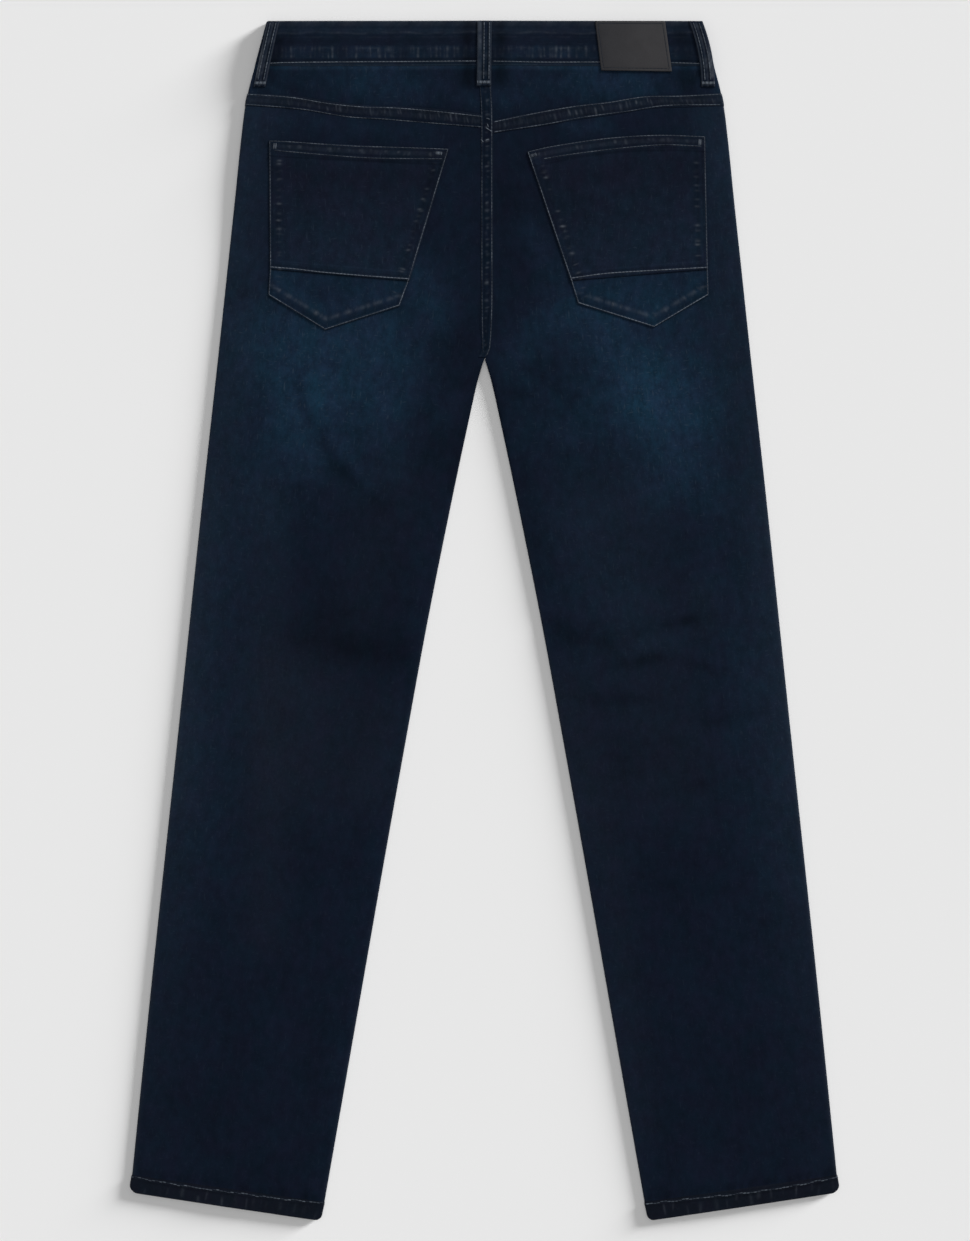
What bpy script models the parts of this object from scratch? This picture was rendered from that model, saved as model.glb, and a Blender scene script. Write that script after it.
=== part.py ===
"""Straight leg jeans laid flat, face down.

A flattened tube of denim: the front pieces lie on the floor, the back pieces lie on them and
carry the yokes, waistband, pockets, belt loops and patch. Units are metres. +X is the wearer's
right, +Y runs from the hems to the waist and +Z is up. A "drop" is a distance down from the
waist's top edge.
"""

import math
from collections import namedtuple

import bmesh
import bpy
from mathutils import Vector

# Sizes of the cut
LENGTH = 1.130
TOP = LENGTH / 2
BAND_HEIGHT = 0.0428
CROTCH_DROP = 0.3183
FRONT_DIP = 0.028
HEM_HEIGHT = 0.0155
HEM_TILT = 0.0255
HEM_INSET = 0.0008
FRONT_INSET = 0.0008
BOW_FADE = 0.120

# Thicknesses and clearances
GAP = 0.0003
CLOTH = 0.0012
BAND_WALL = 0.0020
POCKET_WALL = 0.0011
FACING_WALL = 0.0010
PATCH_WALL = 0.0014
LOOP_WALL = 0.0016
FRONT_LOOP_WALL = 0.0012
SEAM_RISE = 0.0006
FELL_WIDTH = 0.0112
YOKE_FELL = 0.0094
LAP_WIDTH = 0.0085
POCKET_HEM = 0.0150
BAND_SINK = 0.0003
STEP = 0.0008

# How high the back lies over the front, with the drops where the form changes
EDGE_LEVEL = CLOTH + GAP
HIP_RISE = 0.0013
HIP_DROPS = (0.135, 0.235)
LEG_CROWN = 0.0022
SEAT_CROWN = 0.0015
CROTCH_DROPS = (0.235, 0.375)
FOLDS_START = 0.280
ANKLE_DROP = 0.950
ANKLE_CROWN = 0.6

# Waist fastening and belt loops
BUTTON_RADIUS = 0.0085
BUTTON_HEIGHT = 0.0020
BUTTON_X = 0.003
BUTTON_DROP = FRONT_DIP + BAND_HEIGHT / 2
BAND_LAP = 0.020
LAP_CLEARANCE = 0.004
LAP_RAMP = 0.036
LOOP_LENGTH = 0.0620
LOOP_ARCH = 0.0011
FRONT_LOOP_X = 0.085
FRONT_LOOP_TOP = 0.0232
FRONT_LOOP_WIDTH = 0.0125
SHIELD_WIDTH = 0.039
SHIELD_DROP = 0.225
FLY_X = 0.003
MOUTH_X = 0.112
MOUTH_DROP = 0.118
MOUTH_LAP = 0.012
FRONT_LEVEL_DROP = 0.160

# The band's turn at each side: half the height of its two layers
FOLD_RADIUS = (EDGE_LEVEL + HIP_RISE - BAND_SINK + BAND_WALL) / 2

# Soft bumps where the layers stack up: how high, how far each stays level, how far it fades
Lift = namedtuple("Lift", "rise level fade")
BUTTON_LIFT = Lift(BUTTON_HEIGHT + GAP, BUTTON_RADIUS + 0.003, 0.055)
FRONT_LOOP_LIFT = Lift(FRONT_LOOP_WALL + GAP, 0.014, 0.050)
STACK_LIFT = Lift(0.0008, 0.025, 0.050)

# Grid densities
SEAT_ROWS = 9
LEG_ROWS = 32
SEAT_ROW_DROPS = (0.1180, 0.3075)
BACK_COLUMNS = 11
SIDE_COLUMN = 0.006
YOKE_ROWS = 5
FRONT_SHARES = (0, 0.08, 0.17, 0.26, 0.36, 0.44, 0.52, 0.53, 0.56, 0.62, 0.73, 0.87, 1)
FRONT_TOP_ROWS = (0, 0.14, 0.28, 0.42, 0.57, 0.72, 0.86, 1)
FACING_SHARES = (0, 0.03, 0.08, 0.16, 0.3, 0.5, 0.75, 1)
LOOP_SHARES = (0, 0.06, 0.16, 0.28, 0.42, 0.56, 0.68, 0.76, 0.84, 0.92, 1)

LinePoint = namedtuple("LinePoint", "drop x")
SIDE_LINE = (
    LinePoint(0.0000, 0.2056),
    LinePoint(0.0405, 0.2164),
    LinePoint(0.0745, 0.2250),
    LinePoint(0.1085, 0.2296),
    LinePoint(0.1690, 0.2358),
    LinePoint(0.2440, 0.2438),
    LinePoint(0.3190, 0.2518),
    LinePoint(0.4520, 0.2664),
    LinePoint(0.6780, 0.2900),
    LinePoint(0.9040, 0.3140),
    LinePoint(1.1300, 0.3376),
)
INSEAM_LINE = (
    LinePoint(CROTCH_DROP, 0.0000),
    LinePoint(0.3385, 0.0061),
    LinePoint(0.3763, 0.0146),
    LinePoint(0.4517, 0.0306),
    LinePoint(0.5650, 0.0533),
    LinePoint(0.6780, 0.0740),
    LinePoint(0.7912, 0.0943),
    LinePoint(0.9043, 0.1141),
    LinePoint(1.0175, 0.1339),
    LinePoint(1.1300, 0.1537),
)
SEAT_LINE = (
    LinePoint(0.0400, 0.0061),
    LinePoint(0.1000, 0.0080),
    LinePoint(0.2700, 0.0080),
    LinePoint(0.3075, 0.0058),
    LinePoint(CROTCH_DROP, 0.0000),
)

# The yoke seam on each side: its drop at the seat seam, its tilt up to the side, and its bow
YokeSeam = namedtuple("YokeSeam", "seat_drop tilt bow")
YOKE_SEAMS = {
    "left": YokeSeam(0.0900, 0.0217, 0.0008),
    "right": YokeSeam(0.0945, 0.0262, 0.0057),
}
SIGNS = {"left": -1, "right": 1}

# Back pockets: corners as (x, drop) and how far the mouth bows up
Pocket = namedtuple(
    "Pocket", "mouth_side mouth_seat seam_side seam_seat foot_side tip foot_seat bow"
)
POCKETS = {
    "left": Pocket(
        mouth_side=(-0.2032, 0.1128),
        mouth_seat=(-0.0335, 0.1208),
        seam_side=(-0.2027, 0.2345),
        seam_seat=(-0.0708, 0.2458),
        foot_side=(-0.2042, 0.2588),
        tip=(-0.1501, 0.2918),
        foot_seat=(-0.0797, 0.2692),
        bow=-0.0020,
    ),
    "right": Pocket(
        mouth_side=(0.2084, 0.1088),
        mouth_seat=(0.0401, 0.1234),
        seam_side=(0.2110, 0.2348),
        seam_seat=(0.0812, 0.2455),
        foot_side=(0.2117, 0.2588),
        tip=(0.1598, 0.2894),
        foot_seat=(0.0877, 0.2668),
        bow=0.0060,
    ),
}

# Belt loops on the back: x of the middle line at its top, halfway and at its foot
Loop = namedtuple("Loop", "name top_x middle_x foot_x width")
BACK_LOOPS = (
    Loop("belt_loop_back", 0.0000, -0.0002, -0.0006, 0.0136),
    Loop("belt_loop_side_left", -0.1986, -0.2056, -0.2121, 0.0114),
    Loop("belt_loop_side_right", 0.1990, 0.2078, 0.2110, 0.0130),
)

# Patch corners as (x, drop), in order round it
PATCH_CORNERS = (
    (0.1042, 0.0004),
    (0.1702, 0.0004),
    (0.1768, 0.0481),
    (0.1099, 0.0472),
)

# Broad folds of the back: a ridge has a positive rise and a trough a negative one
Fold = namedtuple("Fold", "x1 drop1 x2 drop2 rise width")
FOLDS = (
    Fold(-0.177, 0.341, -0.133, 0.433, -0.0013, 0.013),
    Fold(-0.133, 0.433, -0.096, 0.458, -0.0010, 0.012),
    Fold(-0.210, 0.348, -0.160, 0.452, 0.0010, 0.017),
    Fold(-0.127, 0.357, -0.080, 0.440, 0.0009, 0.020),
    Fold(-0.181, 0.584, -0.073, 0.590, -0.0010, 0.018),
    Fold(-0.190, 0.635, -0.100, 0.645, 0.0008, 0.018),
    Fold(0.145, 0.307, 0.170, 0.400, 0.0011, 0.024),
    Fold(0.217, 0.320, 0.234, 0.450, -0.0008, 0.012),
    Fold(0.059, 0.565, 0.116, 0.581, -0.0009, 0.011),
    Fold(0.116, 0.581, 0.216, 0.565, -0.0009, 0.011),
    Fold(0.085, 0.598, 0.170, 0.607, 0.0010, 0.013),
    Fold(0.100, 0.638, 0.153, 0.640, -0.0008, 0.011),
    Fold(0.166, 0.662, 0.250, 0.653, -0.0009, 0.012),
    Fold(0.175, 0.690, 0.245, 0.680, 0.0008, 0.014),
)

MATERIALS = {
    "denim": ((0.012, 0.019, 0.033), 0.85, 0.0),
    "denim_worn": ((0.014, 0.024, 0.039), 0.85, 0.0),
    "patch_leather": ((0.045, 0.043, 0.046), 0.6, 0.0),
    "button_metal": ((0.18, 0.17, 0.16), 0.35, 1.0),
}


# Small helpers


def mix(a, b, share):
    return a + (b - a) * share


def clamp(value):
    return min(1.0, max(0.0, value))


def ease(start, end, value):
    share = clamp((value - start) / (end - start))
    return share * share * (3 - 2 * share)


def even(start, end, count):
    """Evenly spaced values from start to end, both included."""
    return [mix(start, end, i / (count - 1)) for i in range(count)]


def bump(lift, distance):
    """A lift's height at a distance from its middle."""
    share = clamp((distance - lift.level) / lift.fade)
    return lift.rise * 0.5 * (1 + math.cos(math.pi * share))


def distance_to_segment(x, y, x1, y1, x2, y2):
    run_x, run_y = x2 - x1, y2 - y1
    length = run_x * run_x + run_y * run_y
    share = clamp(((x - x1) * run_x + (y - y1) * run_y) / length)
    return math.hypot(x - x1 - share * run_x, y - y1 - share * run_y)


def on_line(line, drop):
    """x at a drop, on straight stretches between the line's points."""
    for above, below in zip(line, line[1:]):
        if drop <= below.drop:
            break
    return mix(above.x, below.x, (drop - above.drop) / (below.drop - above.drop))


def on_curve(line, drop):
    """x at a drop, on a smooth curve through the line's points."""
    slopes = [
        (line[min(i + 1, len(line) - 1)].x - line[max(i - 1, 0)].x)
        / (line[min(i + 1, len(line) - 1)].drop - line[max(i - 1, 0)].drop)
        for i in range(len(line))
    ]
    for i in range(len(line) - 1):
        if drop <= line[i + 1].drop:
            break
    span = line[i + 1].drop - line[i].drop
    t = (drop - line[i].drop) / span
    return (
        (2 * t**3 - 3 * t**2 + 1) * line[i].x
        + (t**3 - 2 * t**2 + t) * span * slopes[i]
        + (3 * t**2 - 2 * t**3) * line[i + 1].x
        + (t**3 - t**2) * span * slopes[i + 1]
    )


# The garment's lines


def side_x(drop):
    return on_curve(SIDE_LINE, drop)


def inseam_x(drop):
    return on_curve(INSEAM_LINE, drop) if drop > CROTCH_DROP else 0.0


def inner_x(side, drop, seam):
    """A panel's inner edge: the seam above the crotch and the inseam below it."""
    sign = SIGNS[side]
    if drop <= CROTCH_DROP:
        return on_line(seam, drop) + sign * GAP / 2
    return sign * (inseam_x(drop) + GAP / 2)


def waist_drop(x):
    """The front waistband's lower edge."""
    reach = side_x(BAND_HEIGHT) - FOLD_RADIUS
    return BAND_HEIGHT + FRONT_DIP * (1 - min(1.0, abs(x) / reach) ** 2)


# Heights


def button_lift(x, drop):
    """How far the cloth over the button is held off the floor."""
    return bump(BUTTON_LIFT, math.hypot(x - BUTTON_X, drop - BUTTON_DROP))


def front_level(x, drop):
    """Underside of the front pieces: the floor, and raised over the button and front loops."""
    lift = button_lift(x, drop)
    for sign in SIGNS.values():
        loop_x = sign * FRONT_LOOP_X
        foot = FRONT_LOOP_TOP + LOOP_LENGTH
        away = distance_to_segment(x, drop, loop_x, FRONT_LOOP_TOP, loop_x, foot)
        lift += bump(FRONT_LOOP_LIFT, away)
    return lift


def share_across(x, drop):
    """0 at the middle or the inseam, 1 at the side."""
    return clamp((abs(x) - inseam_x(drop)) / (side_x(drop) - inseam_x(drop)))


def crown(x, drop):
    """How far the back stands up over its edges: a low arch on each leg, a plateau at the seat."""
    across = share_across(x, drop)
    leg = LEG_CROWN * math.sin(math.pi * across) ** 0.6
    leg *= mix(1.0, ANKLE_CROWN, ease(ANKLE_DROP, LENGTH, drop))
    seat = SEAT_CROWN * (1 - across**6) ** 0.6
    return mix(seat, leg, ease(*CROTCH_DROPS, drop))


def folds(x, drop):
    """The broad folds' height, which fades out at a leg's edges."""
    across = share_across(x, drop)
    inside = math.sqrt(clamp(4 * across * (1 - across)))
    total = 0.0
    for fold in FOLDS:
        away = distance_to_segment(x, drop, fold.x1, fold.drop1, fold.x2, fold.drop2)
        total += fold.rise * math.exp(-((away / fold.width) ** 2))
    return total * inside


def back_under(x, drop):
    """Underside of the back pieces."""
    lap_end = BAND_LAP + 2 * LAP_CLEARANCE
    lap = distance_to_segment(x, drop, -BAND_LAP, BUTTON_DROP, lap_end, BUTTON_DROP)
    level = EDGE_LEVEL + mix(HIP_RISE, 0.0, ease(*HIP_DROPS, drop))
    level += bump(STACK_LIFT, lap) + button_lift(x, drop) + crown(x, drop)
    return level + (folds(x, drop) if drop > FOLDS_START else 0.0)


# Meshes


def point(x, drop, z):
    return Vector((x, TOP - drop, z))


def layer(x, drop, under, thickness):
    """The outer and inner point of a wall that lies face up."""
    return point(x, drop, under + thickness), point(x, drop, under)


def make_material(name):
    colour, roughness, metallic = MATERIALS[name]
    material = bpy.data.materials.get(name) or bpy.data.materials.new(name)
    material.use_nodes = True
    shader = material.node_tree.nodes["Principled BSDF"]
    shader.inputs["Base Color"].default_value = (*colour, 1.0)
    shader.inputs["Roughness"].default_value = roughness
    shader.inputs["Metallic"].default_value = metallic
    return material


def add_object(name, bm, material):
    bmesh.ops.recalc_face_normals(bm, faces=bm.faces)
    mesh = bpy.data.meshes.new(name)
    bm.to_mesh(mesh)
    bm.free()
    mesh.materials.append(make_material(material))
    mesh.shade_smooth()
    mesh.set_sharp_from_angle(angle=math.radians(35))
    piece = bpy.data.objects.new(name, mesh)
    bpy.context.scene.collection.objects.link(piece)
    piece.parent = bpy.data.objects["jeans"]
    return piece


def wall(name, rows, material="denim"):
    """A closed wall of cloth from rows of (outer, inner) points, with a rim all round."""
    bm = bmesh.new()
    outer = [[bm.verts.new(pair[0]) for pair in row] for row in rows]
    inner = [[bm.verts.new(pair[1]) for pair in row] for row in rows]
    last_row, last_column = len(rows) - 1, len(rows[0]) - 1
    for i in range(last_row):
        for j in range(last_column):
            corners = ((i, j), (i + 1, j), (i + 1, j + 1), (i, j + 1))
            bm.faces.new([outer[a][b] for a, b in corners])
            bm.faces.new([inner[a][b] for a, b in reversed(corners)])
    rim = [(0, j) for j in range(last_column)]
    rim += [(i, last_column) for i in range(last_row)]
    rim += [(last_row, j) for j in range(last_column, 0, -1)]
    rim += [(i, 0) for i in range(last_row, 0, -1)]
    for (a, b), (c, d) in zip(rim, rim[1:] + rim[:1]):
        bm.faces.new((outer[a][b], outer[c][d], inner[c][d], inner[a][b]))
    return add_object(name, bm, material)


# Back panels and yokes


def back_columns(width):
    """Distances from a back piece's inner edge: the felled seam's step, then even columns."""
    start = FELL_WIDTH + STEP
    even_columns = even(start, width, BACK_COLUMNS)
    return [0.0, FELL_WIDTH] + even_columns[:-1] + [width - SIDE_COLUMN, width]


def seam_rise(distance, width):
    return SEAM_RISE if distance <= width + GAP else 0.0


def yoke_bow(side, share, from_seam):
    """How far the yoke seam bows up at a share across, fading out below it."""
    fade = 1 - ease(0.0, BOW_FADE, from_seam)
    return 4 * YOKE_SEAMS[side].bow * share * (1 - share) * fade


def back_row(side, inner_drop, outer_drop, from_seam):
    """Plan points of one row of a back panel, as (x, drop, distance from the inner edge)."""
    start = inner_x(side, inner_drop, SEAT_LINE)
    width = abs(SIGNS[side] * side_x(outer_drop) - start)
    row = []
    for distance in back_columns(width):
        share = distance / width
        drop = mix(inner_drop, outer_drop, share) - yoke_bow(side, share, from_seam)
        row.append((start + SIGNS[side] * distance, drop, distance))
    return row


def back_drops(side):
    """Drops of the back panel's rows at its inner edge."""
    seam = YOKE_SEAMS[side].seat_drop
    hem = LENGTH - HEM_HEIGHT
    rows = [seam, seam + YOKE_FELL, seam + YOKE_FELL + STEP]
    rows += even(*SEAT_ROW_DROPS, SEAT_ROWS)
    rows += even(CROTCH_DROP, hem - STEP, LEG_ROWS)
    return rows + [hem, LENGTH]


def back_panel(side):
    seam = YOKE_SEAMS[side]
    seat_fell = FELL_WIDTH if side == "left" else -1.0
    rows = []
    for inner_drop in back_drops(side):
        from_seam = inner_drop - seam.seat_drop
        share = from_seam / (LENGTH - seam.seat_drop)
        outer_drop = inner_drop - mix(seam.tilt, HEM_TILT, share)
        row = []
        for x, drop, distance in back_row(side, inner_drop, outer_drop, from_seam):
            rise = seam_rise(from_seam, YOKE_FELL)
            rise = max(rise, seam_rise(LENGTH - inner_drop, HEM_HEIGHT))
            if inner_drop <= CROTCH_DROP:
                rise = max(rise, seam_rise(distance, seat_fell))
            row.append(layer(x, drop, back_under(x, drop), CLOTH + rise))
        rows.append(row)
    return wall(f"back_panel_{side}", rows)


def yoke(side):
    """The shaped piece between the waistband and the back panel."""
    seam = YOKE_SEAMS[side]
    seat_fell = FELL_WIDTH if side == "left" else -1.0
    top = BAND_HEIGHT + GAP
    foot = back_row(side, seam.seat_drop, seam.seat_drop - seam.tilt, 0.0)
    head_start = inner_x(side, top, SEAT_LINE)
    head_width = abs(SIGNS[side] * side_x(top) - head_start)
    rows = []
    for share in even(0.0, 1.0, YOKE_ROWS):
        row = []
        for (foot_x, foot_drop, distance), head in zip(foot, back_columns(head_width)):
            x = mix(head_start + SIGNS[side] * head, foot_x, share)
            drop = mix(top, foot_drop - GAP, share)
            rise = seam_rise(distance, seat_fell)
            row.append(layer(x, drop, back_under(x, drop), CLOTH + rise))
        rows.append(row)
    return wall(f"yoke_{side}", rows)


# Front panels, pocket facings and fly shield


def mouth_drop(x, start_x, end_drop):
    """A scooped pocket mouth, from the waistband at start_x out to the side."""
    end_x = side_x(end_drop) - FRONT_INSET
    share = clamp((abs(x) - start_x) / (end_x - start_x))
    scoop = math.sqrt(max(0.0, 1 - (1 - share) ** 2))
    return mix(waist_drop(x), end_drop, scoop)


def front_panel(side):
    sign = SIGNS[side]
    fly = (LinePoint(0.0, FLY_X), LinePoint(CROTCH_DROP, 0.0))
    rows = []
    for row_share in FRONT_TOP_ROWS:
        start = inner_x(side, FRONT_LEVEL_DROP, fly)
        end = sign * (side_x(MOUTH_DROP + 0.02) - FRONT_INSET)
        row = []
        for share in FRONT_SHARES:
            x = mix(start, end, share)
            top = mouth_drop(x, MOUTH_X, MOUTH_DROP) + GAP
            drop = mix(top, FRONT_LEVEL_DROP, row_share)
            x = min(abs(x), side_x(drop) - FRONT_INSET) * sign if share else x
            row.append(layer(x, drop, front_level(x, drop), CLOTH))
        rows.append(row)
    hem = LENGTH - HEM_INSET
    drops = even(FRONT_LEVEL_DROP, CROTCH_DROP, 6)[1:] + even(CROTCH_DROP, hem, 16)[1:]
    for inner_drop in drops:
        tilt = HEM_TILT * (inner_drop - FRONT_LEVEL_DROP) / (hem - FRONT_LEVEL_DROP)
        start = inner_x(side, inner_drop, fly)
        if inner_drop > CROTCH_DROP:
            start += sign * FRONT_INSET
        end = sign * (side_x(inner_drop - tilt) - FRONT_INSET)
        row = []
        for share in FRONT_SHARES:
            x, drop = mix(start, end, share), inner_drop - tilt * share
            row.append(layer(x, drop, front_level(x, drop), CLOTH))
        rows.append(row)
    return wall(f"front_panel_{side}", rows)


def pocket_facing(side):
    """The piece behind a front pocket's mouth, lying inside the front panel."""
    sign = SIGNS[side]
    start_x = MOUTH_X - MOUTH_LAP
    rows = []
    for row_share in even(0.0, 1.0, 7):
        row = []
        for share in FACING_SHARES:
            x = mix(start_x, side_x(BAND_HEIGHT) - FRONT_INSET, share)
            top = waist_drop(x) + GAP
            foot = mouth_drop(x, start_x, MOUTH_DROP) + MOUTH_LAP
            if share == 1:
                foot = MOUTH_DROP + MOUTH_LAP
            drop = mix(top, foot, row_share)
            x = mix(x, side_x(drop) - FRONT_INSET, share**3)
            under = front_level(x, drop) + CLOTH + GAP
            row.append(layer(sign * x, drop, under, FACING_WALL))
        rows.append(row)
    return wall(f"pocket_facing_{side}", rows)


def fly_shield():
    """The strip behind the fly, with a rounded lower corner on its free edge."""
    rows = []
    for row_share in even(0.0, 1.0, 12):
        row = []
        for share in even(0.0, 1.0, 6):
            curve = ease(0.70, 1.0, row_share) * 0.75
            x = mix(FLY_X + 0.004, FLY_X + 0.004 - SHIELD_WIDTH * (1 - curve), share)
            drop = mix(waist_drop(x) + GAP, SHIELD_DROP, row_share)
            under = front_level(x, drop) + CLOTH + GAP
            row.append(layer(x, drop, under, CLOTH))
        rows.append(row)
    return wall("fly_shield", rows)


# Waistband


def band_front(share, height, rise):
    """A point pair of the band's front, which faces the floor."""
    x = share * (side_x(height * BAND_HEIGHT) - FOLD_RADIUS)
    drop = height * BAND_HEIGHT + FRONT_DIP * (1 - share**2)
    under = front_level(x, drop) + rise
    return point(x, drop, under), point(x, drop, under + BAND_WALL)


def band_back(share, height):
    drop = height * BAND_HEIGHT
    x = share * (side_x(drop) - FOLD_RADIUS)
    return layer(x, drop, back_under(x, drop) - BAND_SINK, BAND_WALL)


def band_fold(sign, angle, height):
    """The turn at a side, where the band goes from the front to the back."""
    drop = height * BAND_HEIGHT
    axis_x = side_x(drop) - FOLD_RADIUS
    pair = []
    for radius in (FOLD_RADIUS, FOLD_RADIUS - BAND_WALL):
        x = sign * (axis_x + radius * math.cos(angle))
        pair.append(point(x, drop, FOLD_RADIUS + radius * math.sin(angle)))
    return tuple(pair)


def waistband():
    """One strip all round: left end outermost at the centre front, right end lapped inside."""
    heights = (0.0, 0.2, 0.5, 0.8, 1.0)
    reach = side_x(BAND_HEIGHT / 2) - FOLD_RADIUS
    tip = BAND_LAP / reach
    turn = even(-math.pi / 2, math.pi / 2, 7)
    rows = [[band_front(share, h, 0.0) for h in heights] for share in even(tip, -1, 28)]
    rows += [[band_fold(-1, angle, h) for h in heights] for angle in turn[1:]]
    rows += [[band_back(share, h) for h in heights] for share in even(-1, 1, 35)[1:-1]]
    rows += [[band_fold(1, angle, h) for h in heights] for angle in reversed(turn)]
    for share in even(1, -tip, 28)[1:]:
        past_lap = share * reach - BAND_LAP - LAP_CLEARANCE
        rise = (BAND_WALL + GAP) * (1 - ease(0.0, LAP_RAMP, past_lap))
        rows.append([band_front(share, h, rise) for h in heights])
    return wall("waistband", rows)


def waist_button():
    """A tack button under the front of the band, turned from its half section."""
    r, h = BUTTON_RADIUS, BUTTON_HEIGHT
    section = (
        (0.0, 0.2 * h),
        (0.62 * r, 0.2 * h),
        (0.72 * r, 0.0),
        (0.90 * r, 0.0),
        (r, 0.35 * h),
        (0.95 * r, 0.85 * h),
        (0.80 * r, h),
        (0.0, h),
    )
    centre = point(BUTTON_X, BUTTON_DROP, 0.0)
    bm = bmesh.new()
    verts = [bm.verts.new(centre + Vector((x, 0.0, z))) for x, z in section]
    edges = [bm.edges.new(pair) for pair in zip(verts, verts[1:])]
    bmesh.ops.spin(
        bm,
        geom=verts + edges,
        cent=centre,
        axis=(0, 0, 1),
        angle=2 * math.pi,
        steps=24,
        use_merge=True,
    )
    bmesh.ops.remove_doubles(bm, verts=bm.verts, dist=1e-6)
    return add_object("waist_button", bm, "button_metal")


# Belt loops and patch


def back_loop(loop):
    """A strip from the band's top edge down over it to the yoke."""
    at_seat = abs(loop.foot_x) < FELL_WIDTH
    rows = []
    for share in LOOP_SHARES:
        drop = share * LOOP_LENGTH + GAP
        x_curve = 2 * (loop.top_x + loop.foot_x - 2 * loop.middle_x)
        x_mid = loop.top_x + (loop.foot_x - loop.top_x - x_curve) * share
        x_mid += x_curve * share * share
        on_band = BAND_WALL - BAND_SINK + GAP
        on_yoke = CLOTH + GAP + (SEAM_RISE if at_seat else 0.0)
        past_band = ease(BAND_HEIGHT + 0.001, BAND_HEIGHT + 0.010, drop)
        arch = LOOP_ARCH * math.sin(math.pi * clamp(share / 0.9)) ** 0.7
        row = []
        for across in (-0.5, -0.25, 0.0, 0.25, 0.5):
            x = x_mid + across * loop.width
            under = back_under(x_mid, drop) + mix(on_band, on_yoke, past_band) + arch
            row.append(layer(x, drop, under, LOOP_WALL))
        rows.append(row)
    return wall(loop.name, rows)


def front_loop(side):
    """A loop pressed flat between the front of the band and the floor."""
    middle = SIGNS[side] * FRONT_LOOP_X
    rows = [
        [
            layer(middle + across * FRONT_LOOP_WIDTH, drop, 0.0, FRONT_LOOP_WALL)
            for across in (-0.5, 0.5)
        ]
        for drop in (FRONT_LOOP_TOP, FRONT_LOOP_TOP + LOOP_LENGTH)
    ]
    return wall(f"belt_loop_front_{side}", rows)


def waist_patch():
    """A bare leather patch over the band's height, on its right half."""
    corners = PATCH_CORNERS
    rows = []
    for down in even(0.0, 1.0, 7):
        row = []
        for across in even(0.0, 1.0, 8):
            x = mix(
                mix(corners[0][0], corners[1][0], across),
                mix(corners[3][0], corners[2][0], across),
                down,
            )
            drop = mix(
                mix(corners[0][1], corners[1][1], across),
                mix(corners[3][1], corners[2][1], across),
                down,
            )
            under = back_under(x, drop) + BAND_WALL - BAND_SINK + GAP
            row.append(layer(x, drop, under, PATCH_WALL))
        rows.append(row)
    return wall("waist_patch", rows, "patch_leather")


# Back pockets


def pocket_point(x, drop, rise=0.0):
    """A pocket's point pair, moved out from the back panel's surface."""
    under = back_under(x, drop) + CLOTH + GAP
    return layer(x, drop, under, POCKET_WALL + rise)


def pocket_edges(pocket, share):
    """The mouth, lap seam and foot of a pocket at a share across it, side to seat."""
    tip_share = (pocket.tip[0] - pocket.foot_side[0]) / (
        pocket.foot_seat[0] - pocket.foot_side[0]
    )
    bow = 4 * pocket.bow * share * (1 - share)
    mouth = (
        mix(pocket.mouth_side[0], pocket.mouth_seat[0], share),
        mix(pocket.mouth_side[1], pocket.mouth_seat[1], share) - bow,
    )
    seam = tuple(mix(a, b, share) for a, b in zip(pocket.seam_side, pocket.seam_seat))
    if share <= tip_share:
        start, end, part = pocket.foot_side, pocket.tip, share / tip_share
    else:
        start, end = pocket.tip, pocket.foot_seat
        part = (share - tip_share) / (1 - tip_share)
    foot = tuple(mix(a, b, part) for a, b in zip(start, end))
    return mouth, seam, foot, tip_share


def pocket_shares(pocket):
    """Columns across a pocket, with one on its tip."""
    tip_share = pocket_edges(pocket, 0.0)[3]
    return even(0.0, tip_share, 5) + even(tip_share, 1.0, 6)[1:]


def back_pocket(side):
    """The pocket's main piece, thicker at its hemmed mouth and where it laps the foot piece."""
    pocket = POCKETS[side]
    length = pocket.seam_side[1] - pocket.mouth_side[1]
    hem, lap = POCKET_HEM / length, 1 - LAP_WIDTH / length
    step = STEP / length
    middle = even(hem + step, lap - step, 6)
    downs = [0.0, hem] + middle + [lap, 1.0]
    rows = []
    for down in downs:
        raised = down <= hem or down >= lap
        row = []
        for share in pocket_shares(pocket):
            mouth, seam, _, _ = pocket_edges(pocket, share)
            x, drop = mix(mouth[0], seam[0], down), mix(mouth[1], seam[1], down)
            row.append(pocket_point(x, drop, SEAM_RISE if raised else 0.0))
        rows.append(row)
    return wall(f"back_pocket_{side}", rows)


def back_pocket_foot(side):
    """The pointed lower piece of the pocket."""
    pocket = POCKETS[side]
    rows = []
    for down in even(0.0, 1.0, 5):
        row = []
        for share in pocket_shares(pocket):
            _, seam, foot, _ = pocket_edges(pocket, share)
            x = mix(seam[0], foot[0], down)
            drop = mix(seam[1] + GAP, foot[1], down)
            row.append(pocket_point(x, drop))
        rows.append(row)
    return wall(f"back_pocket_foot_{side}", rows, "denim_worn")


def main():
    for old in list(bpy.data.objects):
        bpy.data.objects.remove(old, do_unlink=True)
    jeans = bpy.data.objects.new("jeans", None)
    bpy.context.scene.collection.objects.link(jeans)
    for side in SIGNS:
        front_panel(side)
        pocket_facing(side)
        back_panel(side)
        yoke(side)
        back_pocket(side)
        back_pocket_foot(side)
        front_loop(side)
    fly_shield()
    waistband()
    waist_button()
    for loop in BACK_LOOPS:
        back_loop(loop)
    waist_patch()


main()
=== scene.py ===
import math

import bmesh
import bpy
import numpy as np
from mathutils import Matrix, Vector
from mathutils.bvhtree import BVHTree


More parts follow.
